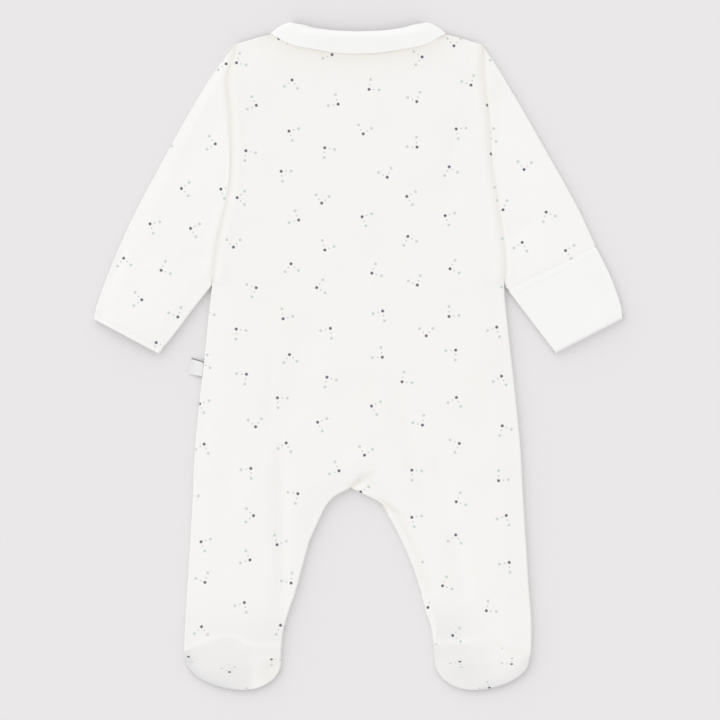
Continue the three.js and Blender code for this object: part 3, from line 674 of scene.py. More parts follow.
def make_mesh(name, wall, material, sharp=50):
    """Mesh of a piece in metres. The map `cut` holds each corner's place on the flat cut, in metres. The
    float attribute on the points holds painted shade: above zero a cream shade painted in folds and seams,
    below zero a painted grey shade."""
    points, faces, corner_places, tones = wall
    doubled = faces == np.roll(faces, 1, axis=1)
    whole = ~doubled.any(axis=1)
    kept = np.concatenate([faces[whole].reshape(-1), faces[~whole][~doubled[~whole]]])
    flat = np.concatenate([corner_places[whole].reshape(-1, 2), corner_places[~whole][~doubled[~whole]]])
    sizes = np.concatenate([np.full(whole.sum(), 4), (~doubled[~whole]).sum(axis=1)])
    starts = np.concatenate([[0], np.cumsum(sizes)[:-1]])
    mesh = bpy.data.meshes.new(name)
    mesh.vertices.add(len(points))
    mesh.vertices.foreach_set("co", (points * MM).astype(np.float32).ravel())
    mesh.loops.add(len(kept))
    mesh.loops.foreach_set("vertex_index", kept.astype(np.int32))
    mesh.polygons.add(len(sizes))
    mesh.polygons.foreach_set("loop_start", starts.astype(np.int32))
    mesh.update(calc_edges=True)
    mesh.polygons.foreach_set("use_smooth", np.ones(len(sizes), bool))
    mesh.set_sharp_from_angle(angle=math.radians(sharp))
    layer = mesh.uv_layers.new(name="cut")
    layer.uv.foreach_set("vector", (flat * MM).astype(np.float32).ravel())
    mesh.attributes.new("painted_shade", "FLOAT", "POINT").data.foreach_set("value", tones.astype(np.float32))
    mesh.materials.append(material)
    piece = bpy.data.objects.new(name, mesh)
    bpy.context.scene.collection.objects.link(piece)
    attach(piece, "root")
    return piece


def laid_out(points, places, start=None):
    """Places on the cut with the steep sides laid flat: each step along a row or a column that is longer on
    the cloth than on the cut is drawn out to the cloth's length, summed from the middle row and from column
    `start`, which is the middle one if none is given."""
    drawn = places.astype(float)
    for axis in (0, 1):
        step = np.diff(places, axis=axis)
        on_cut = np.linalg.norm(step, axis=-1, keepdims=True)
        on_cloth = np.linalg.norm(np.diff(points, axis=axis), axis=-1, keepdims=True)
        extra = step / np.maximum(on_cut, 1e-6) * np.maximum(on_cloth - on_cut, 0)
        total = np.cumsum(np.concatenate([0 * extra.take([0], axis=axis), extra], axis=axis), axis=axis)
        middle = total.shape[axis] // 2 if axis == 0 or start is None else start
        drawn += total - total.take([middle], axis=axis)
    return drawn


def no_cuts(x):
    return np.zeros(x.shape + (3,))


def cut_across(x, y, turn):
    """Direction across a cut that is level cloth at turn 0 and a rim at turn 1."""
    return unit(stack(x * (1 - turn), y * (1 - turn), -turn))


# Shape of the cloth

def fold_shape(folds, x, y):
    """Height of the folds and the cream shade painted in them: each is a bell across its line, and fades in
    and out near its ends.
    """
    height, tone = np.zeros(x.shape), np.zeros(x.shape)
    for x1, y1, x2, y2, width, rise, cream in zip(*folds.values()):
        dx, dy = x2 - x1, y2 - y1
        along = ((x - x1) * dx + (y - y1) * dy) / (dx * dx + dy * dy)
        across = ((x - x1) * dy - (y - y1) * dx) / math.hypot(dx, dy)
        fold = between(along, FOLD_IN, FOLD_OUT) * hump(across / width)
        height += rise * fold
        tone = np.maximum(tone, cream * fold)
    return height, tone


def edge_rise(distance, crown=CROWN, steep=EDGE_SHARE):
    """Share of a layer's height at a distance from its outer edge: a small round, then a long slight
    crown."""
    return steep * rounded_rise(distance / EDGE_ROUND) + (1 - steep) * smoothstep(distance, 0, crown)


def seam_dip(distance):
    """A seam draws the cloth down in a soft trough with a fine line at its bottom."""
    return SEAM_DIP * bell(distance / SEAM_DIP_WIDTH) + SEAM_LINE * hump(distance / SEAM_LINE_WIDTH)


def lid_height(edges, top, x, y, crown=CROWN, seed=1, steep=EDGE_SHARE):
    """Height of an upper layer and how deep each place lies in a seam. The cloth is level, rounded down at
    rims, dipped at seams, raised over the seam allowance beside them and slightly puckered there. Each edge
    comes with the strength of its seam, and waves fade out at it, so that two sewn pieces meet."""
    measured = [(*nearest_on(edge, x, y), share) for edge, share in edges]
    calm = np.ones(x.shape)
    for distance, turn, _, _ in measured:
        calm *= 1 - (1 - turn) * hump(distance / CALM_WIDTH)
    level = BODY_TOP + (top - BODY_TOP) * calm
    lowered, raised, depth = np.zeros(x.shape), np.zeros(x.shape), np.zeros(x.shape)
    for number, (distance, turn, along, share) in enumerate(measured):
        rim = (level - BACK_RIM) * (1 - edge_rise(distance, crown, steep))
        lowered = np.maximum(lowered, turn * rim + (1 - turn) * share * seam_dip(distance))
        over = between(distance, ALLOWANCE_RISE, ALLOWANCE_FALL)
        ridge = ALLOWANCE * over * uneven(along, seed + number + 40, ALLOWANCE_WAVE)
        near = np.exp(-distance / PUCKER_REACH) * (1 - np.exp(-distance / PUCKER_FROM))
        pull = uneven(along, seed + number, PUCKER_SPACING) * near
        raised += (1 - turn) * share * (ridge - PUCKER * pull)
        depth = np.maximum(depth, (1 - turn) * share * bell(distance / SEAM_TONE_WIDTH))
    return level - lowered + raised, depth


def tray_height(edges, x, y):
    """Height of the lower layer: flat on the table and turned up at rims."""
    height = np.zeros(x.shape)
    for edge in edges:
        distance, turn, _ = nearest_on(edge, x, y)
        height = np.maximum(height, turn * FRONT_RIM * (1 - rounded_rise(distance / FRONT_ROUND)))
    return height


def body_edges():
    """Edges of the back with the strength of their seams. On the right inner leg the front comes round the
    edge."""
    edges = [(back_top_edge(), 1), (inseam_edge("right", "right", BELOW_HEEL_Y, 0), INSEAM_SEAM)]
    for side, outline in FRONT_INSEAM.items():
        edges += [(side_edge(side, BELOW_HEEL_Y), 1), (inseam_edge(side, outline, BELOW_HEEL_Y), 1)]
        edges += [(heel_edge(side), HEEL_SEAM)]
    return edges


def leg_rows(side):
    """Levels of the back's rows, and where each row meets the inside of the leg and the side."""
    level = level_rows(BACK_ROUND, HEEL_Y, BACK_STEP)
    at_heel = heel_share(level)
    outer = side_x(side, level + heel_bow(side, side_x(side, level)) * at_heel)
    leg_level = level + heel_bow(side, inseam_x(side, level)) * at_heel
    inner = inseam_x(side, leg_level)
    if side == "right":
        outline = inseam_x("right_front", leg_level)
        inner = np.where(leg_level > STRIP_FROM_Y, outline, np.maximum(inner, outline))
    return level, inner, leg_level, outer


def neck_shade(x, y):
    """Share of the cream shade painted below the collar's lower edge."""
    fall_x, fall_y = COLLAR_BACK["fall_x"], COLLAR_BACK["fall_y"]
    fall = stack(np.append(-fall_x[:0:-1], fall_x), np.append(fall_y[:0:-1], fall_y), 0)
    return np.exp(-nearest_on(fall, x, y)[0] / NECK_SHADE_WIDTH)


def foot_shade(side, x, y):
    """Painted grey shade that grows from the ankle to the heel."""
    across = smoothstep(np.abs(x), *FOOT_SHADE_ACROSS)
    return lerp(*FOOT_SHADE[side], across) * smoothstep(-y, *FOOT_SHADE_DOWN)


def sole_tone(side, x, from_heel, from_toe):
    """Painted shade of a sole: grey across it and more so at the round of the outer toe, cream at the inner
    side.
    """
    across = np.abs(x)
    grey = lerp(*SOLE_SHADE[side], smoothstep(across, *SOLE_SHADE_ACROSS))
    grey += TOE_SHADE * hump(from_toe / TOE_SHADE_WIDTH) * smoothstep(across, *TOE_SHADE_ACROSS)
    warm = INNER_CREAM_SHADE[side] * (1 - smoothstep(across, *INNER_SHADE_ACROSS)) * smoothstep(from_heel, *INNER_SHADE_DOWN)
    return warm - grey


def build_back(material):
    """The back: two half bodies, each with its leg, joined down the middle as far as the crotch."""
    cloth = Cloth()
    round_places = ROUND_STEPS * BACK_ROUND
    middle_places = np.linspace(0, MIDDLE_CLOSE, len(ROUND_STEPS))
    edges = body_edges()
    for side, sign in HAND.items():
        level, inner, leg_level, outer = leg_rows(side)
        in_leg = level <= CROTCH_Y
        inner = np.where(in_leg, inner, sign * middle_x(level))
        at_leg = 1 - smoothstep(level, CROTCH_Y, CROTCH_Y + LEG_BLEND)[:, None]
        inner_places = lerp(middle_places, round_places, at_leg)
        places = column_places(outer - inner, BACK_COLUMNS, round_places, inner_places)
        x = sign * (outer[:, None] - places)
        rise = (top_y(x) - SHOULDER_Y) * smoothstep(level, BACK_RISE_FROM, SHOULDER_Y)[:, None] ** 2
        y = level[:, None] + rise + heel_bow(side, np.abs(x)) * heel_share(level)[:, None]
        folds, fold_tone = fold_shape(FOLDS, x, y)
        z, depth = lid_height(edges, BODY_TOP + folds + soft_waves(x, y, seed=5, size=0.06), x, y)
        z[:, 0] = lerp(z[:, 0], BACK_RIM, side_turn(level))
        cuts = no_cuts(x)
        cuts[-1] = cut_across(0, 1, 0)
        beyond = inner - inseam_x(FRONT_INSEAM[side], leg_level)
        z[in_leg & (beyond < NO_STRIP), -1] = BACK_RIM
        cuts[in_leg, -1] = cut_across(-sign, 0, 1 - smoothstep(beyond, *STRIP_TURN))[in_leg]
        cuts[:, 0] = cut_across(sign, 0, side_turn(level))
        cuts[0] = cut_across(0, 1, top_turn(x[0]))
        # Painted shade: cream in seams, folds, below the collar and beside the heel's seam, grey towards the
        # heel
        from_heel = nearest_on(heel_edge(side), x, y)[0]
        heel_tone = HEEL_TONE * bell(from_heel / HEEL_TONE_WIDTH)
        tone = DEPTH_TONE * depth + fold_tone + neck_shade(x, y) + heel_tone
        tone = np.clip(tone, 0, 1) - foot_shade(side, x, y)
        points = stack(x, y, z)
        cloth.grid(points, laid_out(points, stack(x, y)), cuts, tone, flip=sign > 0)
    return make_mesh("back_cloth", cloth.wall(CLOTH, BACK_RIM), material)


def build_front(side, material):
    """Half of the front: flat on the table, lifted over the front of the collar and along the lap."""
    sign = HAND[side]
    column = FRONT_INSEAM[side]
    level = level_rows(FRONT_ROUND, FOOT_SIDE_Y, FRONT_STEP)
    outer_foot, inner_foot = side_x(side, FOOT_SIDE_Y), inseam_x(column, FOOT_SIDE_Y)
    toe_x = lerp(inner_foot, outer_foot, half_turn(TOE_POINTS))
    toe_line = stack(sign * toe_x, toe_edge_y(toe_x, inner_foot, outer_foot), 1)
    edges = [side_edge(side, FOOT_SIDE_Y), inseam_edge(side, column, FOOT_SIDE_Y), toe_line]
    line = {name: np.append(COLLAR_BACK[name][-1:], COLLAR_FRONT[name]) for name in COLLAR_BACK}
    collar_x = sign * (line["roll_x"] + line["fall_x"]) / 2
    collar_y = (line["roll_y"] + line["fall_y"]) / 2
    in_leg = level <= CROTCH_Y
    lap = LAP_HALF * smoothstep(level, LAP_TO, LAP_FROM)
    middle = sign * middle_x(level) - lap + SEAM_GAP / 2
    outer = side_x(side, level)
    inner = np.where(in_leg, inseam_x(column, level), middle)
    at_leg = 1 - smoothstep(level, CROTCH_Y, LAP_TO)[:, None]
    lap_edge = (lap + LAP_HALF)[:, None]
    on_lap = lerp(np.zeros_like(lap_edge), lap_edge + LAP_CREST, np.linspace(0, 1, 5))
    ramp = lerp(lap_edge + LAP_CREST, lap_edge + LAP_RAMP, np.linspace(0, 1, 6)[1:])
    inner_places = lerp(np.concatenate([on_lap, ramp], axis=1), ROUND_STEPS * FRONT_ROUND, at_leg)
    places = column_places(outer - inner, FRONT_COLUMNS, ROUND_STEPS * FRONT_ROUND, inner_places)
    x = sign * (outer[:, None] - places)
    rise = (front_top_y(x) - SHOULDER_Y) * smoothstep(level, FRONT_RISE_FROM, SHOULDER_Y)[:, None] ** 2
    toe_bow = toe_edge_y(np.abs(x), inner_foot, outer_foot) - FOOT_SIDE_Y
    y = level[:, None] + rise + toe_bow * smoothstep(-level, TOE_BOW_FROM, -FOOT_SIDE_Y)[:, None]
    from_middle = np.abs(x - middle_x(y))
    lap_level = LAP_OUTER if side == "right" else LAP_INNER
    over_lap = 1 - smoothstep(from_middle, *LAP_SLOPE)
    lap_lift = lap_level * over_lap * smoothstep(level, LAP_FLAT, LAP_TO)[:, None]
    from_collar = nearest_on(stack(collar_x, collar_y, 0), x, y)[0]
    beside_lap = smoothstep(from_middle, *BESIDE_LAP)
    shoulder_end = 1 - smoothstep(np.abs(x), *OVER_COLLAR_END)
    near_collar = 1 - smoothstep(from_collar, *OVER_COLLAR_FADE)
    collar_lift = OVER_COLLAR * beside_lap * shoulder_end * near_collar
    z = np.maximum(tray_height(edges, x, y), np.maximum(lap_lift, collar_lift))
    cuts = no_cuts(x)
    cuts[in_leg, -1] = (0, 0, -1)
    cuts[~in_leg, -1] = (1, 0, 0)
    cuts[:, 0] = cut_across(sign, 0, side_turn(level))
    cuts[0] = cut_across(0, 1, 0)
    cuts[-1] = (0, 0, -1)
    points = stack(x, y, z)
    cloth = Cloth().grid(points, laid_out(points, stack(-x + FRONT_CUT_X, y)), cuts, flip=sign < 0)
    if side == "right":
        add_leg_strip(cloth)
    return make_mesh(f"front_{side}_cloth", cloth.wall(), material)


def add_leg_strip(cloth):
    """The strip of the front that comes round the right inner leg, as far as the back's edge. It lies on the
    back's own rows, from the outline to the seam, at the height of the back's upper layer."""
    level, seam, y, _ = leg_rows("right")
    rows = y < STRIP_FROM_Y
    outline = inseam_x("right_front", y)
    share = 1 - np.cos(np.linspace(0, np.pi / 2, 9))
    x = lerp(outline[:, None], np.maximum(seam - STRIP_GAP, outline + 0.02)[:, None], share)[rows]
    y = (y[:, None] + 0 * share)[rows]
    z, tone = lid_height(body_edges(), BODY_TOP, x, y)
    z[:, 0] = FRONT_RIM
    # Painted cream shade of the seams and folds on the strip
    tone = DEPTH_TONE * tone + STRIP_TONE * fold_shape(FOLDS, x, y)[1]
    cuts = no_cuts(x)
    cuts[:, 0] = (0, 0, -1)
    cuts[:, -1] = (1, 0, 0)
    points = stack(x, y, z)
    cloth.grid(points, laid_out(points, stack(x + STRIP_CUT_X, y)), cuts, tone)


def build_sole(side, material):
    """The sole, from its seam at the heel to the round of the toe, bent down towards the toe."""
    sign = HAND[side]

    def level_edges(down):
        inner_heel, outer_heel = HEEL[side]["y"][[0, -1]]
        outer = side_x(side, lerp(outer_heel, FOOT_SIDE_Y, down))
        return outer, inseam_x(FRONT_INSEAM[side], lerp(inner_heel, FOOT_SIDE_Y, down))

    foot_outer, foot_inner = level_edges(1.0)

    def plan(across, down):
        return lerp(heel_y(side, across) - SEAM_GAP, toe_edge_y(across, foot_inner, foot_outer), down)

    down = np.sin(np.linspace(0, 90, SOLE_ROWS) * np.pi / 180)
    outer, inner = level_edges(down)
    even = np.linspace(0, 1, SOLE_SIDE_POINTS)
    outer_x, inner_x = level_edges(even)
    toe_x = lerp(foot_inner, foot_outer, half_turn(ROUND_TOE_POINTS))
    rim_x = np.concatenate([inner_x, toe_x, outer_x[::-1]])
    rim = stack(sign * rim_x, plan(rim_x, np.concatenate([even, np.ones(ROUND_TOE_POINTS), even[::-1]])), 1)
    places = column_places(outer - inner, SOLE_COLUMNS, ROUND_STEPS * BACK_ROUND, ROUND_STEPS * BACK_ROUND)
    across = outer[:, None] - places
    x, y = sign * across, plan(across, down[:, None])
    top = BODY_TOP + soft_waves(x, y, seed=11, size=0.08, shortest=18, longest=50)
    from_heel = heel_y(side, np.abs(x)) - y
    toeward = smoothstep(from_heel, *TOEWARD)
    steep, crown = lerp(EDGE_SHARE, TOE_SHARE, toeward), lerp(CROWN, SOLE_CROWN, toeward)
    z, depth = lid_height([(rim, 1), (heel_edge(side), HEEL_SEAM)], top, x, y, crown, seed=9, steep=steep)
    cuts = no_cuts(x)
    z[:, 0] = z[:, -1] = z[-1] = BACK_RIM
    cuts[0] = cut_across(0, 1, 0)
    cuts[:, 0] = cuts[:, -1] = cuts[-1] = (0, 0, -1)
    points = stack(x, y, z)
    # Painted shade: cream at the heel's seam and the sole's inner side, grey across the sole and at the toe
    tone = depth + sole_tone(side, x, from_heel, nearest_on(rim, x, y)[0])
    cloth = Cloth().grid(points, laid_out(points, stack(x, y * SOLE_CUT_STRETCH)), cuts, tone, flip=sign > 0)
    return make_mesh(f"sole_{side}_cloth", cloth.wall(CLOTH, BACK_RIM), material)


# Sleeves. `across` runs from a sleeve's inner edge to its outer edge, `along` from armhole to cuff.

def sleeve_plan(side, across, along):
    """Place in plan: the four edges are blended, so that the grid follows all of them."""

    def inner(t):
        y = lerp(UNDERARM_Y, CUFF_INNER_Y, t)
        free = look_up(SLEEVE_INNER, y, "y", side)
        return np.where(y > SLEEVE_LEAVES_Y, side_x(side, y) + SEAM_GAP, free), y

    def outer(t):
        y = lerp(SHOULDER_Y, CUFF_OUTER_Y, t)
        return look_up(SLEEVE_OUTER, y, "y", side) + SEAM_GAP * (1 - t), y

    def armhole(t):
        y = lerp(UNDERARM_Y, SHOULDER_Y, t)
        return side_x(side, y) + SEAM_GAP, y

    start, end = (inner(0), outer(0)), (inner(1), outer(1))
    inside, outside, arm = inner(along), outer(along), armhole(across)
    place = []
    for k in (0, 1):
        cuff = lerp(end[0][k], end[1][k], across)
        lengthwise = lerp(arm[k], cuff, along)
        sideways = lerp(inside[k], outside[k], across)
        corners = lerp(lerp(start[0][k], start[1][k], across), cuff, along)
        place.append(lengthwise + sideways - corners)
    return HAND[side] * place[0], place[1]


def edge_length(across):
    return lerp(SLEEVE_LENGTH["inner"], SLEEVE_LENGTH["outer"], across)


def sleeve_width(side, along):
    x1, y1 = sleeve_plan(side, 0.0, along)
    x2, y2 = sleeve_plan(side, 1.0, along)
    return np.hypot(x2 - x1, y2 - y1)


def sleeve_axis(side):
    """Direction of the end of a sleeve, towards the cuff."""
    x1, y1 = sleeve_plan(side, 0.5, 0.98)
    x2, y2 = sleeve_plan(side, 0.5, 1.0)
    length = math.hypot(x2 - x1, y2 - y1)
    return np.array([(x2 - x1) / length, (y2 - y1) / length, 0])


def sleeve_surface(side, arm, above_cuff, wrap=False, proud=0.0):
    """Grid of a sleeve. Rows are at `arm`, shares of the way to the first of the rows at `above_cuff`.
    Columns cross the upper layer from inner to outer edge and, with wrap, come back below it. With the
    points come their places on the cut, which are on the upper layer, and how deep each is in a seam."""
    arm_end = 1 - above_cuff[0] / edge_length(0.5)
    row_along = np.concatenate([arm * arm_end, 1 - above_cuff / edge_length(0.5)])
    width = sleeve_width(side, row_along)
    close = ROUND_STEPS * UPPER_ROUND
    inward = column_places(width, UPPER_COLUMNS, close, close)
    upper = np.ones(inward.shape, bool)
    if wrap:
        close = ROUND_STEPS * LOWER_ROUND
        lower = column_places(width, LOWER_COLUMNS, close, close)[:, -2::-1]
        inward = np.concatenate([inward, lower], axis=1)
        upper = np.concatenate([upper, np.zeros(lower.shape, bool)], axis=1)
    width, row_along = width[:, None], row_along[:, None]
    proud = np.broadcast_to(proud, len(row_along))[:, None]
    across = inward / width
    near_cuff = 1 - above_cuff[:, None] / edge_length(across[len(arm):])
    to_cuff = arm[:, None] * (1 - above_cuff[0] / edge_length(across[:len(arm)]))
    along = np.concatenate([to_cuff, near_cuff])
    from_edge = np.minimum(inward, width - inward)
    from_armhole = row_along * SLEEVE_LENGTH["inner"]
    x, y = sleeve_plan(side, across, along)
    outer_edge = upper[0].sum() - 1
    x1, y1 = x[:, :1], y[:, :1]
    x2, y2 = x[:, outer_edge:outer_edge + 1], y[:, outer_edge:outer_edge + 1]
    beside = 1 - side_turn(y1)
    dip = np.maximum(seam_dip(from_armhole), seam_dip(inward) * beside)
    near = np.maximum(bell(from_armhole / SEAM_LEVEL_WIDTH), bell(inward / SEAM_LEVEL_WIDTH) * beside)
    top = lerp(SLEEVE_TOP, BODY_TOP, near)
    inner_rise = lerp(edge_rise(inward, SLEEVE_CROWN), 1, beside)
    lid_rise = np.minimum(inner_rise, edge_rise(width - inward, SLEEVE_CROWN))
    lid = MIDDLE_HEIGHT + (top - dip - MIDDLE_HEIGHT + proud) * lid_rise
    tray = MIDDLE_HEIGHT * (1 - rounded_rise(from_edge / LOWER_ROUND))
    push = proud * (2 * across - 1) / width
    points = stack(x + (x2 - x1) * push, y + (y2 - y1) * push, np.where(upper, lid, tray))
    deep = np.maximum(bell(from_armhole / SEAM_TONE_WIDTH), bell(inward / SEAM_TONE_WIDTH) * beside) * upper
    return points, sleeve_cut(side, x, y, x2, y2, upper), upper, deep


def sleeve_cut(side, x, y, edge_x, edge_y, upper):
    """Place on the flat cut: the upper layer as it lies, and the lower one turned over about the outer
    edge."""
    way = np.array([SLEEVE_OUTER[side][0] - SLEEVE_OUTER[side][-1], CUFF_OUTER_Y - SHOULDER_Y])
    way = way / np.hypot(*way) * (HAND[side], 1)
    from_x, from_y = x - edge_x, y - edge_y
    along = from_x * way[0] + from_y * way[1]
    turned = edge_x + 2 * along * way[0] - from_x, edge_y + 2 * along * way[1] - from_y
    return stack(np.where(upper, x, turned[0]), np.where(upper, y, turned[1]))


def height_share(z):
    """How far a point of a sleeve stands above its rim: 0 at the rim and 1 on top."""
    return rounded_rise((z - FRONT_RIM) / (SLEEVE_TOP - FRONT_RIM))


def build_sleeve(side, material):
    """A sleeve: one wall all round, open at the armhole and at the cuff."""
    sign = HAND[side]
    above = np.append(MITT_DEPTH + np.array(ABOVE_MITT_ROWS), np.linspace(*LOWER_SLEEVE_ROWS[side]))
    if side == "left":
        above = np.append(above, HEM_ROWS)
        proud = HEM_EXTRA * (1 - smoothstep(above, *HEM_STEP))
        proud -= HEM_GROOVE * hump((above - HEM_DEPTH) / HEM_GROOVE_WIDTH)
    else:
        proud = -MITT_INSET * (1 - smoothstep(above, *MITT_STEP))
    proud = np.append(np.zeros(len(ARM_ROWS)), proud)
    points, places, upper, deep = sleeve_surface(side, ARM_ROWS, above, True, proud)
    x, y, z = points[..., 0], points[..., 1], points[..., 2]
    covered = upper & (side == "right") & (proud < 0)[:, None]
    z = z - covered * MITT_PRESS * proud[:, None] * height_share(z)
    folds, fold_tone = fold_shape(SLEEVE_FOLDS[side], x, y)
    free = upper * smoothstep(z, MIDDLE_HEIGHT, SLEEVE_FREE_TOP) * ~covered
    calm = 1 - hump((1 - deep) / SEAM_CALM)
    z = z + (folds + soft_waves(x, y, seed=21, size=0.05)) * free * calm
    # Painted cream shade in the armhole seam and the creases
    tone = np.clip(DEPTH_TONE * deep + fold_tone * free, 0, 1)
    cuts = np.zeros(points.shape)
    cuts[0] = (1, 0, 0)
    cuts[-1] = sleeve_axis(side)
    points = stack(x, y, z)
    points[:, -1] = points[:, 0]
    places = laid_out(points, places, upper[0].sum() // 2)
    cloth = Cloth().grid(points, places, cuts, tone, flip=sign < 0)
    return make_mesh(f"sleeve_{side}_cloth", cloth.wall(), material)


def mitt_surface(above):
    """Upper layer of the mitt, which lies over the sleeve's."""
    points, places, _, _ = sleeve_surface("right", np.zeros(0), np.asarray(above, float))
    share = height_share(points[..., 2])
    waves = soft_waves(points[..., 0], points[..., 1], seed=31, size=0.06, shortest=30, longest=70)
    points[..., 2] += (MITT_RISE + waves) * share
    return points, places


def build_mitt(material):
    """The mitt covers the upper layer of the right sleeve and folds down over the end of it."""
    first = MITT_DEPTH - np.array(MITT_EDGE_ROWS)
    points, places = mitt_surface(np.append(first, np.linspace(MITT_EDGE_END, MITT_FOLD, MITT_ROWS)))
    edge = points[:len(first), :, 2]
    edge -= np.array(MITT_EDGE_DROP)[:, None] * height_share(edge - MITT_RISE)
    axis = sleeve_axis("right")
    angles = np.radians(np.linspace(0, 90, MITT_FOLD_ROWS)[1:])[:, None, None]
    fold = points[-1] + axis * MITT_FOLD * np.sin(angles)
    upright = np.cos(angles[..., 0])
    fold[..., 2] = points[-1, :, 2] * upright + MITT_FOLD_END * (1 - upright)
    fold_places = places[-1] + angles * axis[:2] * MITT_FOLD
    points, places = np.concatenate([points, fold]), np.concatenate([places, fold_places])
    cuts = np.zeros(points.shape)
    cuts[0] = axis
    cuts[:, 0] = cuts[:, -1] = cuts[-1] = (0, 0, -1)
    cloth = Cloth().grid(points, places, cuts)
    return make_mesh("mitt_right_cloth", cloth.wall(MITT_WALL), material)


def collar_stations(count):
    """Places along the collar from the middle of the back to the front opening: the line of its roll, the
    direction and width to its fall, and its upper face, which turns over at the shoulder."""
    upper_z = BODY_TOP + SEAM_GAP + COLLAR_WALL / 2
    lower_z = COLLAR_WALL / 2 + CLEARANCE
    rows = {}
    for name in COLLAR_BACK:
        wrap = np.repeat(COLLAR_BACK[name][-1:], COLLAR_WRAP_STEPS)
        rows[name] = np.concatenate([COLLAR_BACK[name], wrap, COLLAR_FRONT[name]])
    wrap_angles = np.linspace(COLLAR_WRAP_FROM, np.pi, COLLAR_WRAP_STEPS + 1)
    front_angles = np.full(len(COLLAR_FRONT["roll_x"]), np.pi)
    rows["angle"] = np.concatenate([COLLAR_BACK_ANGLES, wrap_angles, front_angles])
    rows["step"] = np.arange(len(rows["angle"]), dtype=float)
    step = np.linspace(0, rows["step"][-1], count)
    roll_x, roll_y, fall_x, fall_y = (look_up(rows, step, "step", name) for name in COLLAR_BACK)
    angle = np.clip(look_up(rows, step, "step", "angle"), 0, np.pi)
    fallward = stack(fall_x - roll_x, fall_y - roll_y, 0)
    width = np.linalg.norm(fallward, axis=1, keepdims=True)
    fallward /= width
    face = stack(-fallward[:, 1] * np.sin(angle), fallward[:, 0] * np.sin(angle), np.cos(angle))
    roll = stack(roll_x, roll_y, (upper_z + lower_z) / 2 + (upper_z - lower_z) / 2 * np.cos(angle))
    bulge = stack(-fallward[:, 1], fallward[:, 0], 0) * (COLLAR_BULGE * np.sin(angle))[:, None]
    return roll, fallward, face, bulge, width


def build_collar(material):
    """The collar: a strip folded in two along its roll. Its section is a flat ring, fuller at the roll, and
    is carried round the neck, over each shoulder and under the front."""
    half = collar_stations(COLLAR_STATIONS)
    mirror = np.array([-1, 1, 1])
    roll, fallward, face, bulge = (np.concatenate([part[:0:-1] * mirror, part]) for part in half[:4])
    width = np.concatenate([half[4][:0:-1], half[4]])
    turn = np.linspace(0, 2 * np.pi, COLLAR_AROUND)
    inward = (1 - np.cos(turn)) / 2
    fullness = lerp(*COLLAR_FULLNESS, smoothstep(inward, 0.2, 0.8))
    height = np.sign(np.sin(turn)) * np.abs(np.sin(turn)) ** fullness * COLLAR_WALL / 2
    height[[0, -1]] = 0
    thin = COLLAR_THINNING * smoothstep(inward, 0.15, 1)
    height = height * (1 - thin) - thin * COLLAR_WALL / 2
    points = roll[:, None] + fallward[:, None] * (inward * width)[..., None] + face[:, None] * height[:, None]
    points = points + bulge[:, None] * (np.sin(np.pi * inward) ** 0.6)[:, None]
    x, y, z = points[..., 0], points[..., 1], points[..., 2]
    beyond_back = smoothstep(y - top_y(x), *COLLAR_DROOP_BEYOND)
    on_top = (1 - smoothstep(np.abs(x), *COLLAR_DROOP_ACROSS)) * smoothstep(z, *COLLAR_DROOP_ABOVE)
    points[..., 2] -= COLLAR_DROOP * beyond_back * on_top
    places = stack(travelled(roll)[:, None], turn / np.pi * COLLAR_CUT_WIDTH)
    middle = points[[0, -1]].mean(axis=1, keepdims=True) + 0 * points[[0, -1]]
    points = np.concatenate([middle[:1], points, middle[1:]])
    places = np.concatenate([places[:1], places, places[-1:]])
    points[:, -1] = points[:, 0]
    cloth = Cloth().grid(points, places, flip=True)
    return make_mesh("collar_cloth", cloth.solid(), material)


def build_label(material):
    """The label: a ribbon that leaves the side seam, folds over and goes back under itself."""
    down = np.linspace(0, 1, LABEL_ROWS)[:, None]
    way = np.linspace(0, 1, LABEL_COLUMNS)
    fold_from, fold_to = LABEL["fold"]
    inside_y = lerp(LABEL["top_in"], LABEL["bottom_in"], down)
    inside_x = -side_x("left", inside_y) - SEAM_GAP - 0.1
    fold_radius = (LABEL["wall"] - 2 * RIBBON) / 2 + RIBBON
    turning = smoothstep(way, fold_from, fold_to)
    out = np.where(way < 0.5, way, 1 - way) * 2
    round_end = np.sin(np.pi * np.clip((way - fold_from) / (fold_to - fold_from), 0, 1))
    out = np.clip(out, 0, 1 - LABEL["fold_reach"]) + LABEL["fold_reach"] * round_end
    x = lerp(inside_x, lerp(*LABEL["out_x"], down), out)
    y = lerp(inside_y, lerp(*LABEL["out_y"], down), out)
    top = LABEL["wall"] + CLEARANCE + LABEL["drop"] * (1 - smoothstep(out, 0, 0.8))
    z = top - 2 * fold_radius * turning + LABEL["rise"] * np.sin(np.pi * down) * (1 - turning)
    places = stack(way * LABEL["length"], down * LABEL["width"])
    cloth = Cloth().grid(stack(x, y, z), places, flip=True)
    return make_mesh("side_label_ribbon", cloth.wall(RIBBON, 0.02), material)


def build_stud(number, material):
    """Cap of a press stud: a profile turned about its axis, with a shallow dish inside a rolled rim."""
    lowest, highest = (np.array(corner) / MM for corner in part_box(f"stud_{number}"))
    centre = (lowest + highest) / 2
    radius, height = STUD_PROFILE.T
    angle = np.linspace(0, 2 * np.pi, STUD_COLUMNS)[:, None]
    points = stack(radius * np.cos(angle) + centre[0], radius * np.sin(angle) + centre[1], height)
    points[-1] = points[0]
    cloth = Cloth().grid(points, stack(angle * STUD_CUT_WIDTH, height + radius))
    return make_mesh(f"stud_{number}_cap", cloth.solid(), material, 80)


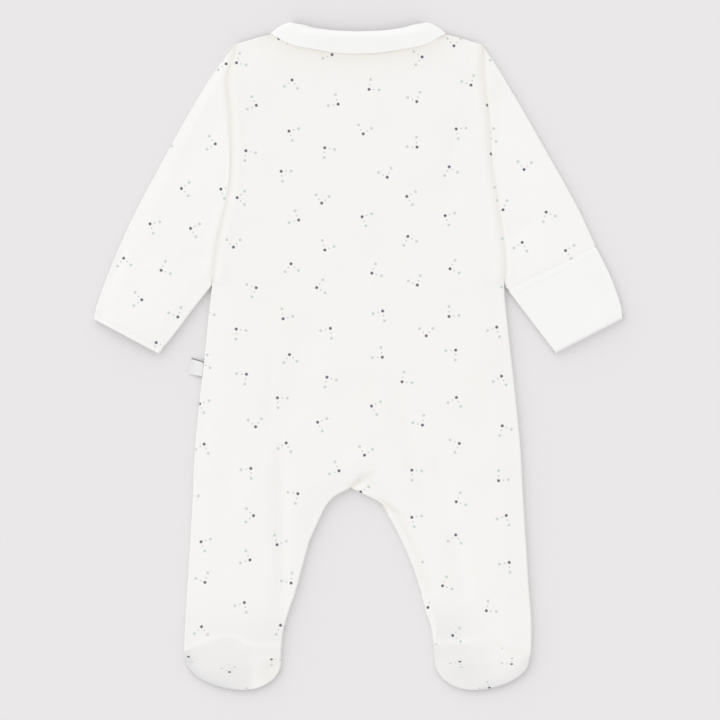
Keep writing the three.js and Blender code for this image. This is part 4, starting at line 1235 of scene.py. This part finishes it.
def stitch_row(name, line, material):
    """A row of stitches: half-sunk beads of thread, carried at an even pitch along a line on the cloth."""
    length = travelled(line)
    middles = np.arange(STITCH_PITCH / 2, length[-1], STITCH_PITCH)
    centre, front, back = (
        np.stack([np.interp(at, length, line[:, k]) for k in range(3)], axis=-1)
        for at in (middles, middles + STITCH_SLOPE_REACH, middles - STITCH_SLOPE_REACH)
    )
    forward = unit(front - back)
    sideways = unit(np.cross((0, 0, 1.0), forward))
    upward = np.cross(forward, sideways)
    along = np.linspace(0, np.pi, 7)[:, None]
    around = np.linspace(0, 2 * np.pi, 9)
    bead = stack(
        -np.cos(along) * STITCH_LENGTH / 2,
        np.sin(along) ** STITCH_FULLNESS * np.cos(around) * STITCH_WIDTH / 2,
        np.sin(along) ** STITCH_FULLNESS * np.sin(around) * STITCH_HEIGHT + STITCH_LIFT,
    )
    bead[[0, -1], :, 1:] = (0, STITCH_LIFT)
    bead[:, -1] = bead[:, 0]
    cloth = Cloth()
    for place, axes in zip(centre, np.stack([forward, sideways, upward], axis=1)):
        cloth.grid(place + bead @ axes, bead[..., :2], flip=True)
    return make_mesh(name, cloth.solid(), material)


def build_cuff_stitches(material):
    """Stitches of the left sleeve's hem, in the groove above its end, on the upper layer."""
    above = np.array([CUFF_STITCH_DEPTH, 0.0])
    points, _, _, _ = sleeve_surface("left", np.zeros(0), above, proud=HEM_EXTRA)
    return stitch_row("left_cuff_stitches", points[0, STITCHED_COLUMNS] - CUFF_STITCH_DROP, material)


def build_mitt_stitches(material):
    """Stitches of the hem along the mitt's free edge."""
    points, _ = mitt_surface([MITT_DEPTH - MITT_STITCH_DEPTH, MITT_DEPTH - 2 * MITT_STITCH_DEPTH])
    return stitch_row("mitt_stitches", points[0, STITCHED_COLUMNS], material)


# Materials

WARM_WHITE = (0.872, 0.864, 0.851)
SLEEVE_WHITE = (0.88, 0.876, 0.865)
COOL_WHITE = (0.882, 0.882, 0.878)
COLLAR_WHITE = (0.886, 0.886, 0.884)
SHADE_GREY = (0.7, 0.7, 0.712)
RIBBON_WHITE = (0.79, 0.785, 0.785)
# Cream of the cotton's uneven tone and of the shade painted in seams, folds, below the collar, at the heel
# and on the soles
UNEVEN_AND_SHADE_CREAM = (0.80, 0.765, 0.70)
INK_NAVY = (0.022, 0.042, 0.08)
INK_SAGE = (0.53, 0.62, 0.575)
INK_GREY = (0.52, 0.52, 0.54)
STUD_WHITES = ((0.84, 0.84, 0.82), (0.87, 0.87, 0.86))
PAPER_GREYS = ((0.775, 0.76, 0.768), (0.781, 0.766, 0.774))

# The print, in metres: sprigs in staggered rows, each a dark star with two arms of paler dots
ROW_PERIOD = 0.071
ROW_PITCH = 0.0192
SPRIG_SCATTER = 0.34
STAR_RADIUS = 0.00124
STAR_OFFSET = 0.0030
PALE_RADIUS = 0.0012
TINY_RADIUS = 0.0006
TINY_SHARE = 0.47
STAR_POINTS, STAR_DEPTH = 6.0, 0.2
ARM_LENGTH = 0.0083
ARM_ANGLE = math.radians(42)
INK_SOFTNESS = 0.00028
INKS = (("Pale dots", INK_SAGE, 0.85), ("Tiny dots", INK_GREY, 0.9), ("Star", INK_NAVY, 0.9))

# The knit, in metres, with the strength and height of its bump
WALE = 0.00085
COURSE = 0.00105
KNIT_BUMP = (0.5, 0.00006)

# The ribbon, in metres: where its dark line ends, and the pitch, strength and height of its rib
LINE_EDGE = (0.0011, 0.0008)
RIB_PITCH = 0.0005
RIB_BUMP = (0.4, 0.00005)

# Shares of the painted cream shade and of the uneven tone in a jersey's colour
PAINTED_SHADE_SHARE, WORN_SHARE = 0.74, 0.12


def feed(tree, socket, value):
    if isinstance(value, bpy.types.NodeSocket):
        tree.links.new(value, socket)
    elif value is not None:
        socket.default_value = value


def node(tree, kind, *inputs, **settings):
    """A node with its settings, and its inputs in their own order; None leaves one as it is."""
    made = tree.nodes.new(kind)
    for name, value in settings.items():
        setattr(made, name, value)
    for socket, value in zip(made.inputs, inputs):
        feed(tree, socket, value)
    return made


def plug(tree, made, **values):
    """Values and links for a node's sockets by name, with _ for a space."""
    for name, value in values.items():
        feed(tree, made.inputs[name.replace("_", " ")], value)
    return made


def noise(tree, place, scale, detail=2):
    """Value of an uneven texture."""
    return plug(tree, node(tree, "ShaderNodeTexNoise", place), Scale=scale, Detail=detail).outputs[0]


def maths(tree, operation, *values):
    return node(tree, "ShaderNodeMath", *values, operation=operation).outputs[0]


def vector_maths(tree, operation, *values, output="Vector"):
    return node(tree, "ShaderNodeVectorMath", *values, operation=operation).outputs[output]


def group(name, inputs, outputs):
    """A shader node group with named inputs and outputs: (name, socket type, value)."""
    tree = bpy.data.node_groups.new(name, "ShaderNodeTree")
    for label, kind, value in inputs:
        socket = tree.interface.new_socket(label, in_out="INPUT", socket_type=kind)
        if value is not None:
            socket.default_value = value
    for label, kind in outputs:
        tree.interface.new_socket(label, in_out="OUTPUT", socket_type=kind)
    return tree, tree.nodes.new("NodeGroupInput").outputs, tree.nodes.new("NodeGroupOutput").inputs


def dot_product(tree, place, direction):
    return vector_maths(tree, "DOT_PRODUCT", place, direction, output="Value")


def dot_mask(tree, place, centre, radius):
    """1 inside a dot, 0 outside it, with a soft edge of ink."""
    distance = vector_maths(tree, "DISTANCE", place, centre, output="Value")
    return node(
        tree, "ShaderNodeMapRange", distance, maths(tree, "ADD", radius, INK_SOFTNESS),
        maths(tree, "SUBTRACT", radius, INK_SOFTNESS), 0.0, 1.0, interpolation_type="SMOOTHSTEP",
    ).outputs["Result"]


def sprig_print():
    """Masks of the three inks. Sprigs sit on a staggered grid of uneven places, each turned its own way."""
    tree, given, result = group(
        "sprig_print",
        [("Place", "NodeSocketVector", None)],
        [("Star", "NodeSocketFloat"), ("Pale dots", "NodeSocketFloat"), ("Tiny dots", "NodeSocketFloat")],
    )
    place = given["Place"]
    one = dot_product(tree, place, (1 / ROW_PERIOD, 0.5 / ROW_PITCH, 0))
    two = dot_product(tree, place, (1 / ROW_PERIOD, -0.5 / ROW_PITCH, 0))
    lattice = node(tree, "ShaderNodeCombineXYZ", one, two, 0.0).outputs[0]
    cells = node(tree, "ShaderNodeTexVoronoi", voronoi_dimensions="2D", feature="F1")
    plug(tree, cells, Vector=lattice, Scale=1, Randomness=SPRIG_SCATTER)
    away = vector_maths(tree, "SUBTRACT", lattice, cells.outputs["Position"])
    x = dot_product(tree, away, (ROW_PERIOD / 2, ROW_PERIOD / 2, 0))
    y = dot_product(tree, away, (ROW_PITCH, -ROW_PITCH, 0))
    chance = node(tree, "ShaderNodeSeparateColor", cells.outputs["Color"]).outputs["Red"]
    local = node(tree, "ShaderNodeCombineXYZ", x, y, 0.0).outputs[0]
    turned = node(tree, "ShaderNodeVectorRotate", local, (0.0, 0.0, 0.0), rotation_type="Z_AXIS")
    turned = plug(tree, turned, Angle=maths(tree, "MULTIPLY", chance, 2 * math.pi)).outputs[0]
    apart = node(tree, "ShaderNodeSeparateXYZ", turned)
    either = maths(tree, "ABSOLUTE", apart.outputs[0])
    mirrored = node(tree, "ShaderNodeCombineXYZ", either, apart.outputs[1], 0.0).outputs[0]
    arm = ARM_LENGTH * np.array([math.sin(ARM_ANGLE), math.cos(ARM_ANGLE), 0])
    star = np.array([0, -STAR_OFFSET, 0])
    beam = node(tree, "ShaderNodeSeparateXYZ", vector_maths(tree, "SUBTRACT", turned, tuple(star)))
    angle = maths(tree, "ARCTAN2", beam.outputs[1], beam.outputs[0])
    spokes = maths(tree, "COSINE", maths(tree, "MULTIPLY", angle, STAR_POINTS))
    radius = maths(tree, "MULTIPLY_ADD", spokes, STAR_RADIUS * STAR_DEPTH, STAR_RADIUS)
    for name, at, centre, size in (
        ("Star", turned, star, radius),
        ("Pale dots", mirrored, star + arm, PALE_RADIUS),
        ("Tiny dots", mirrored, star + TINY_SHARE * arm, TINY_RADIUS),
    ):
        feed(tree, result[name], dot_mask(tree, at, tuple(centre), size))
    return tree


def jersey_knit():
    """Height of plain knit: columns of leaning stitches, whose legs meet in a V, and a little uneven yarn."""
    tree, given, result = group(
        "jersey_knit",
        [
            ("Place", "NodeSocketVector", None),
            ("Wale", "NodeSocketFloat", WALE),
            ("Course", "NodeSocketFloat", COURSE),
        ],
        [("Height", "NodeSocketFloat")],
    )
    at = node(tree, "ShaderNodeSeparateXYZ", given["Place"])
    column = maths(tree, "DIVIDE", at.outputs[0], given["Wale"])
    row = maths(tree, "DIVIDE", at.outputs[1], given["Course"])
    lean = maths(tree, "MULTIPLY", maths(tree, "PINGPONG", column, 0.5), 0.9)
    leg = maths(tree, "SINE", maths(tree, "MULTIPLY", maths(tree, "ADD", row, lean), 2 * math.pi))
    furrow = maths(tree, "COSINE", maths(tree, "MULTIPLY", column, 4 * math.pi))
    yarn = noise(tree, given["Place"], scale=900)
    knit = maths(tree, "MULTIPLY_ADD", leg, 0.3, maths(tree, "MULTIPLY", furrow, 0.5))
    feed(tree, result["Height"], maths(tree, "MULTIPLY_ADD", yarn, 0.5, knit))
    return tree


def worn_tone():
    """Soft unevenness of bleached cotton, from -1 to 1, over some tens of millimetres."""
    tree, given, result = group(
        "worn_tone", [("Position", "NodeSocketVector", None)], [("Tone", "NodeSocketFloat")],
    )
    broad = noise(tree, given["Position"], scale=14, detail=3)
    feed(tree, result["Tone"], maths(tree, "MULTIPLY_ADD", broad, 2.0, -1.0))
    return tree


GROUPS = {"sprig_print": sprig_print(), "jersey_knit": jersey_knit(), "worn_tone": worn_tone()}


def placed(tree, name, place):
    """Outputs of one of the groups at a place."""
    return node(tree, "ShaderNodeGroup", place, node_tree=GROUPS[name]).outputs


def mixed(tree, share, one, two):
    """Colour between two, at a share of the second."""
    made = node(tree, "ShaderNodeMix", data_type="RGBA")
    feed(tree, made.inputs[0], share)
    for socket, colour in ((made.inputs[6], one), (made.inputs[7], two)):
        feed(tree, socket, (*colour, 1) if isinstance(colour, tuple) else colour)
    return made.outputs[2]


def new_material(name):
    """A material with its node tree, its shader and a function that gives it a bump of a small height."""
    material = bpy.data.materials.new(name)
    material.use_nodes = True
    tree = material.node_tree
    shader = tree.nodes["Principled BSDF"]

    def raise_bump(height, strength, distance):
        bump = plug(tree, node(tree, "ShaderNodeBump"), Strength=strength, Distance=distance, Height=height)
        plug(tree, shader, Normal=bump.outputs[0])

    return material, tree, shader, raise_bump


def object_place(tree):
    return node(tree, "ShaderNodeTexCoord").outputs["Object"]


def jersey(name, white, printed=False, turn=0.0, shift=(0.0, 0.0)):
    """Fine cotton jersey: white, with a cream shade painted in creases and seams and a painted grey shade
    where the shade attribute is below zero, the knit as bump, and the print if any."""
    material, tree, shader, raise_bump = new_material(name)
    place = node(tree, "ShaderNodeUVMap", uv_map="cut").outputs[0]
    # Painted shade from the points' attribute: a cream shade above zero and a grey shade below it; the cream
    # also carries the cotton's uneven tone
    painted_shade = node(tree, "ShaderNodeAttribute", attribute_name="painted_shade").outputs["Fac"]
    tone = placed(tree, "worn_tone", object_place(tree))[0]
    cream = maths(tree, "MULTIPLY_ADD", tone, WORN_SHARE, maths(tree, "MULTIPLY", painted_shade, PAINTED_SHADE_SHARE))
    colour = mixed(tree, node(tree, "ShaderNodeClamp", cream).outputs[0], white, UNEVEN_AND_SHADE_CREAM)
    grey = node(tree, "ShaderNodeClamp", maths(tree, "MULTIPLY", painted_shade, -1.0)).outputs[0]
    colour = mixed(tree, grey, colour, SHADE_GREY)
    if printed:
        turned = node(tree, "ShaderNodeMapping", place, (*shift, 0.0), (0.0, 0.0, turn)).outputs[0]
        sprigs = placed(tree, "sprig_print", turned)
        for mask, ink, strength in INKS:
            colour = mixed(tree, maths(tree, "MULTIPLY", sprigs[mask], strength), colour, ink)
    raise_bump(placed(tree, "jersey_knit", place)[0], *KNIT_BUMP)
    plug(tree, shader, Base_Color=colour, Roughness=0.95, Specular_IOR_Level=0.2)
    plug(tree, shader, Sheen_Weight=0.12, Sheen_Roughness=0.5)
    return material


def ribbon_satin():
    """Woven ribbon: white with a fine rib across it and a thin navy line along its upper edge."""
    material, tree, shader, raise_bump = new_material("woven_ribbon")
    at = node(tree, "ShaderNodeSeparateXYZ", node(tree, "ShaderNodeUVMap", uv_map="cut").outputs[0])
    line = node(tree, "ShaderNodeMapRange", at.outputs[1], *LINE_EDGE, 0.0, 1.0).outputs["Result"]
    colour = mixed(tree, maths(tree, "MULTIPLY", line, 0.85), RIBBON_WHITE, INK_NAVY)
    rib = maths(tree, "SINE", maths(tree, "MULTIPLY", at.outputs[0], 2 * math.pi / RIB_PITCH))
    raise_bump(rib, *RIB_BUMP)
    plug(tree, shader, Base_Color=colour, Roughness=0.6)
    return material


def stud_plastic():
    """Milky plastic of a press stud, a little uneven in gloss."""
    material, tree, shader, _ = new_material("stud_plastic")
    speckle = noise(tree, object_place(tree), scale=700)
    rough = node(tree, "ShaderNodeMapRange", speckle, 0.3, 0.7, 0.3, 0.42).outputs["Result"]
    plug(tree, shader, Roughness=rough, Base_Color=mixed(tree, speckle, *STUD_WHITES))
    return material


def backdrop_paper():
    """Matt grey paper, all but even."""
    material, tree, shader, _ = new_material("backdrop_paper")
    colour = mixed(tree, noise(tree, object_place(tree), scale=3), *PAPER_GREYS)
    plug(tree, shader, Base_Color=colour, Roughness=1, Specular_IOR_Level=0)
    return material


# The suit

back_jersey = jersey("printed_jersey_back", WARM_WHITE, True)
front_jersey = jersey("printed_jersey_front", WARM_WHITE, True, 0.0, (0.013, 0.021))
sleeve_left_jersey = jersey("printed_jersey_left_sleeve", SLEEVE_WHITE, True, math.radians(-24), (0.02, 0.0))
sleeve_right_jersey = jersey("printed_jersey_right_sleeve", SLEEVE_WHITE, True, math.radians(28), (0.0, 0.01))
sole_jersey = {
    side: jersey(f"printed_jersey_{side}_sole", WARM_WHITE, True, math.radians(90), (0.0, 0.03))
    for side in HAND
}
plain_jersey = jersey("plain_jersey", COOL_WHITE)
collar_jersey = jersey("collar_jersey", COLLAR_WHITE)
thread = jersey("thread", COOL_WHITE)
ribbon = ribbon_satin()
plastic = stud_plastic()

back = build_back(back_jersey)
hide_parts("back")

for side in HAND:
    front = build_front(side, front_jersey)
    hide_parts(f"front_{side}")
    sole = build_sole(side, sole_jersey[side])
    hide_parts(f"sole_{side}")

for side, material in (("left", sleeve_left_jersey), ("right", sleeve_right_jersey)):
    sleeve = build_sleeve(side, material)
    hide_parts(f"sleeve_{side}")

mitt = build_mitt(plain_jersey)
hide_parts("mitt_right")

collar = build_collar(collar_jersey)
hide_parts("collar")

build_cuff_stitches(thread)
build_mitt_stitches(thread)

label = build_label(ribbon)
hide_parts("side_label")

for number in range(1, 7):
    stud = build_stud(number, plastic)
    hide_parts(f"stud_{number}")

# Floor, light and camera

bpy.ops.mesh.primitive_plane_add(size=4.0, location=(0, 0, -0.0001))
floor = bpy.context.object
floor.name = "backdrop"
floor.data.materials.append(backdrop_paper())

world = bpy.data.worlds.new("soft_room")
world.use_nodes = True
plug(world.node_tree, world.node_tree.nodes["Background"], Color=(1, 0.995, 0.99, 1), Strength=0.851)
bpy.context.scene.world = world

SUN_SPREAD = math.radians(70)


def add_sun(name, energy, tilt, azimuth):
    """A wide soft sun, tilted from overhead towards an azimuth counted from +X."""
    light = bpy.data.lights.new(name, "SUN")
    light.energy = energy
    light.angle = SUN_SPREAD
    sun = bpy.data.objects.new(name, light)
    sun.rotation_euler = (0, math.radians(tilt), math.radians(azimuth))
    bpy.context.scene.collection.objects.link(sun)


add_sun("window", energy=1.15, tilt=62, azimuth=130)
add_sun("reflector", energy=0.25, tilt=62, azimuth=-50)

bpy.context.scene.view_settings.view_transform = "Standard"

VIEW_WIDTH = 0.6048
VIEW_CENTRE = (0.00151, -0.00269)
camera = bpy.data.cameras.new("camera")
camera.lens = 200
camera.sensor_width = 36
camera.clip_end = 20
camera_object = bpy.data.objects.new("camera", camera)
camera_object.location = (*VIEW_CENTRE, VIEW_WIDTH * camera.lens / camera.sensor_width)
bpy.context.scene.collection.objects.link(camera_object)
bpy.context.scene.camera = camera_object
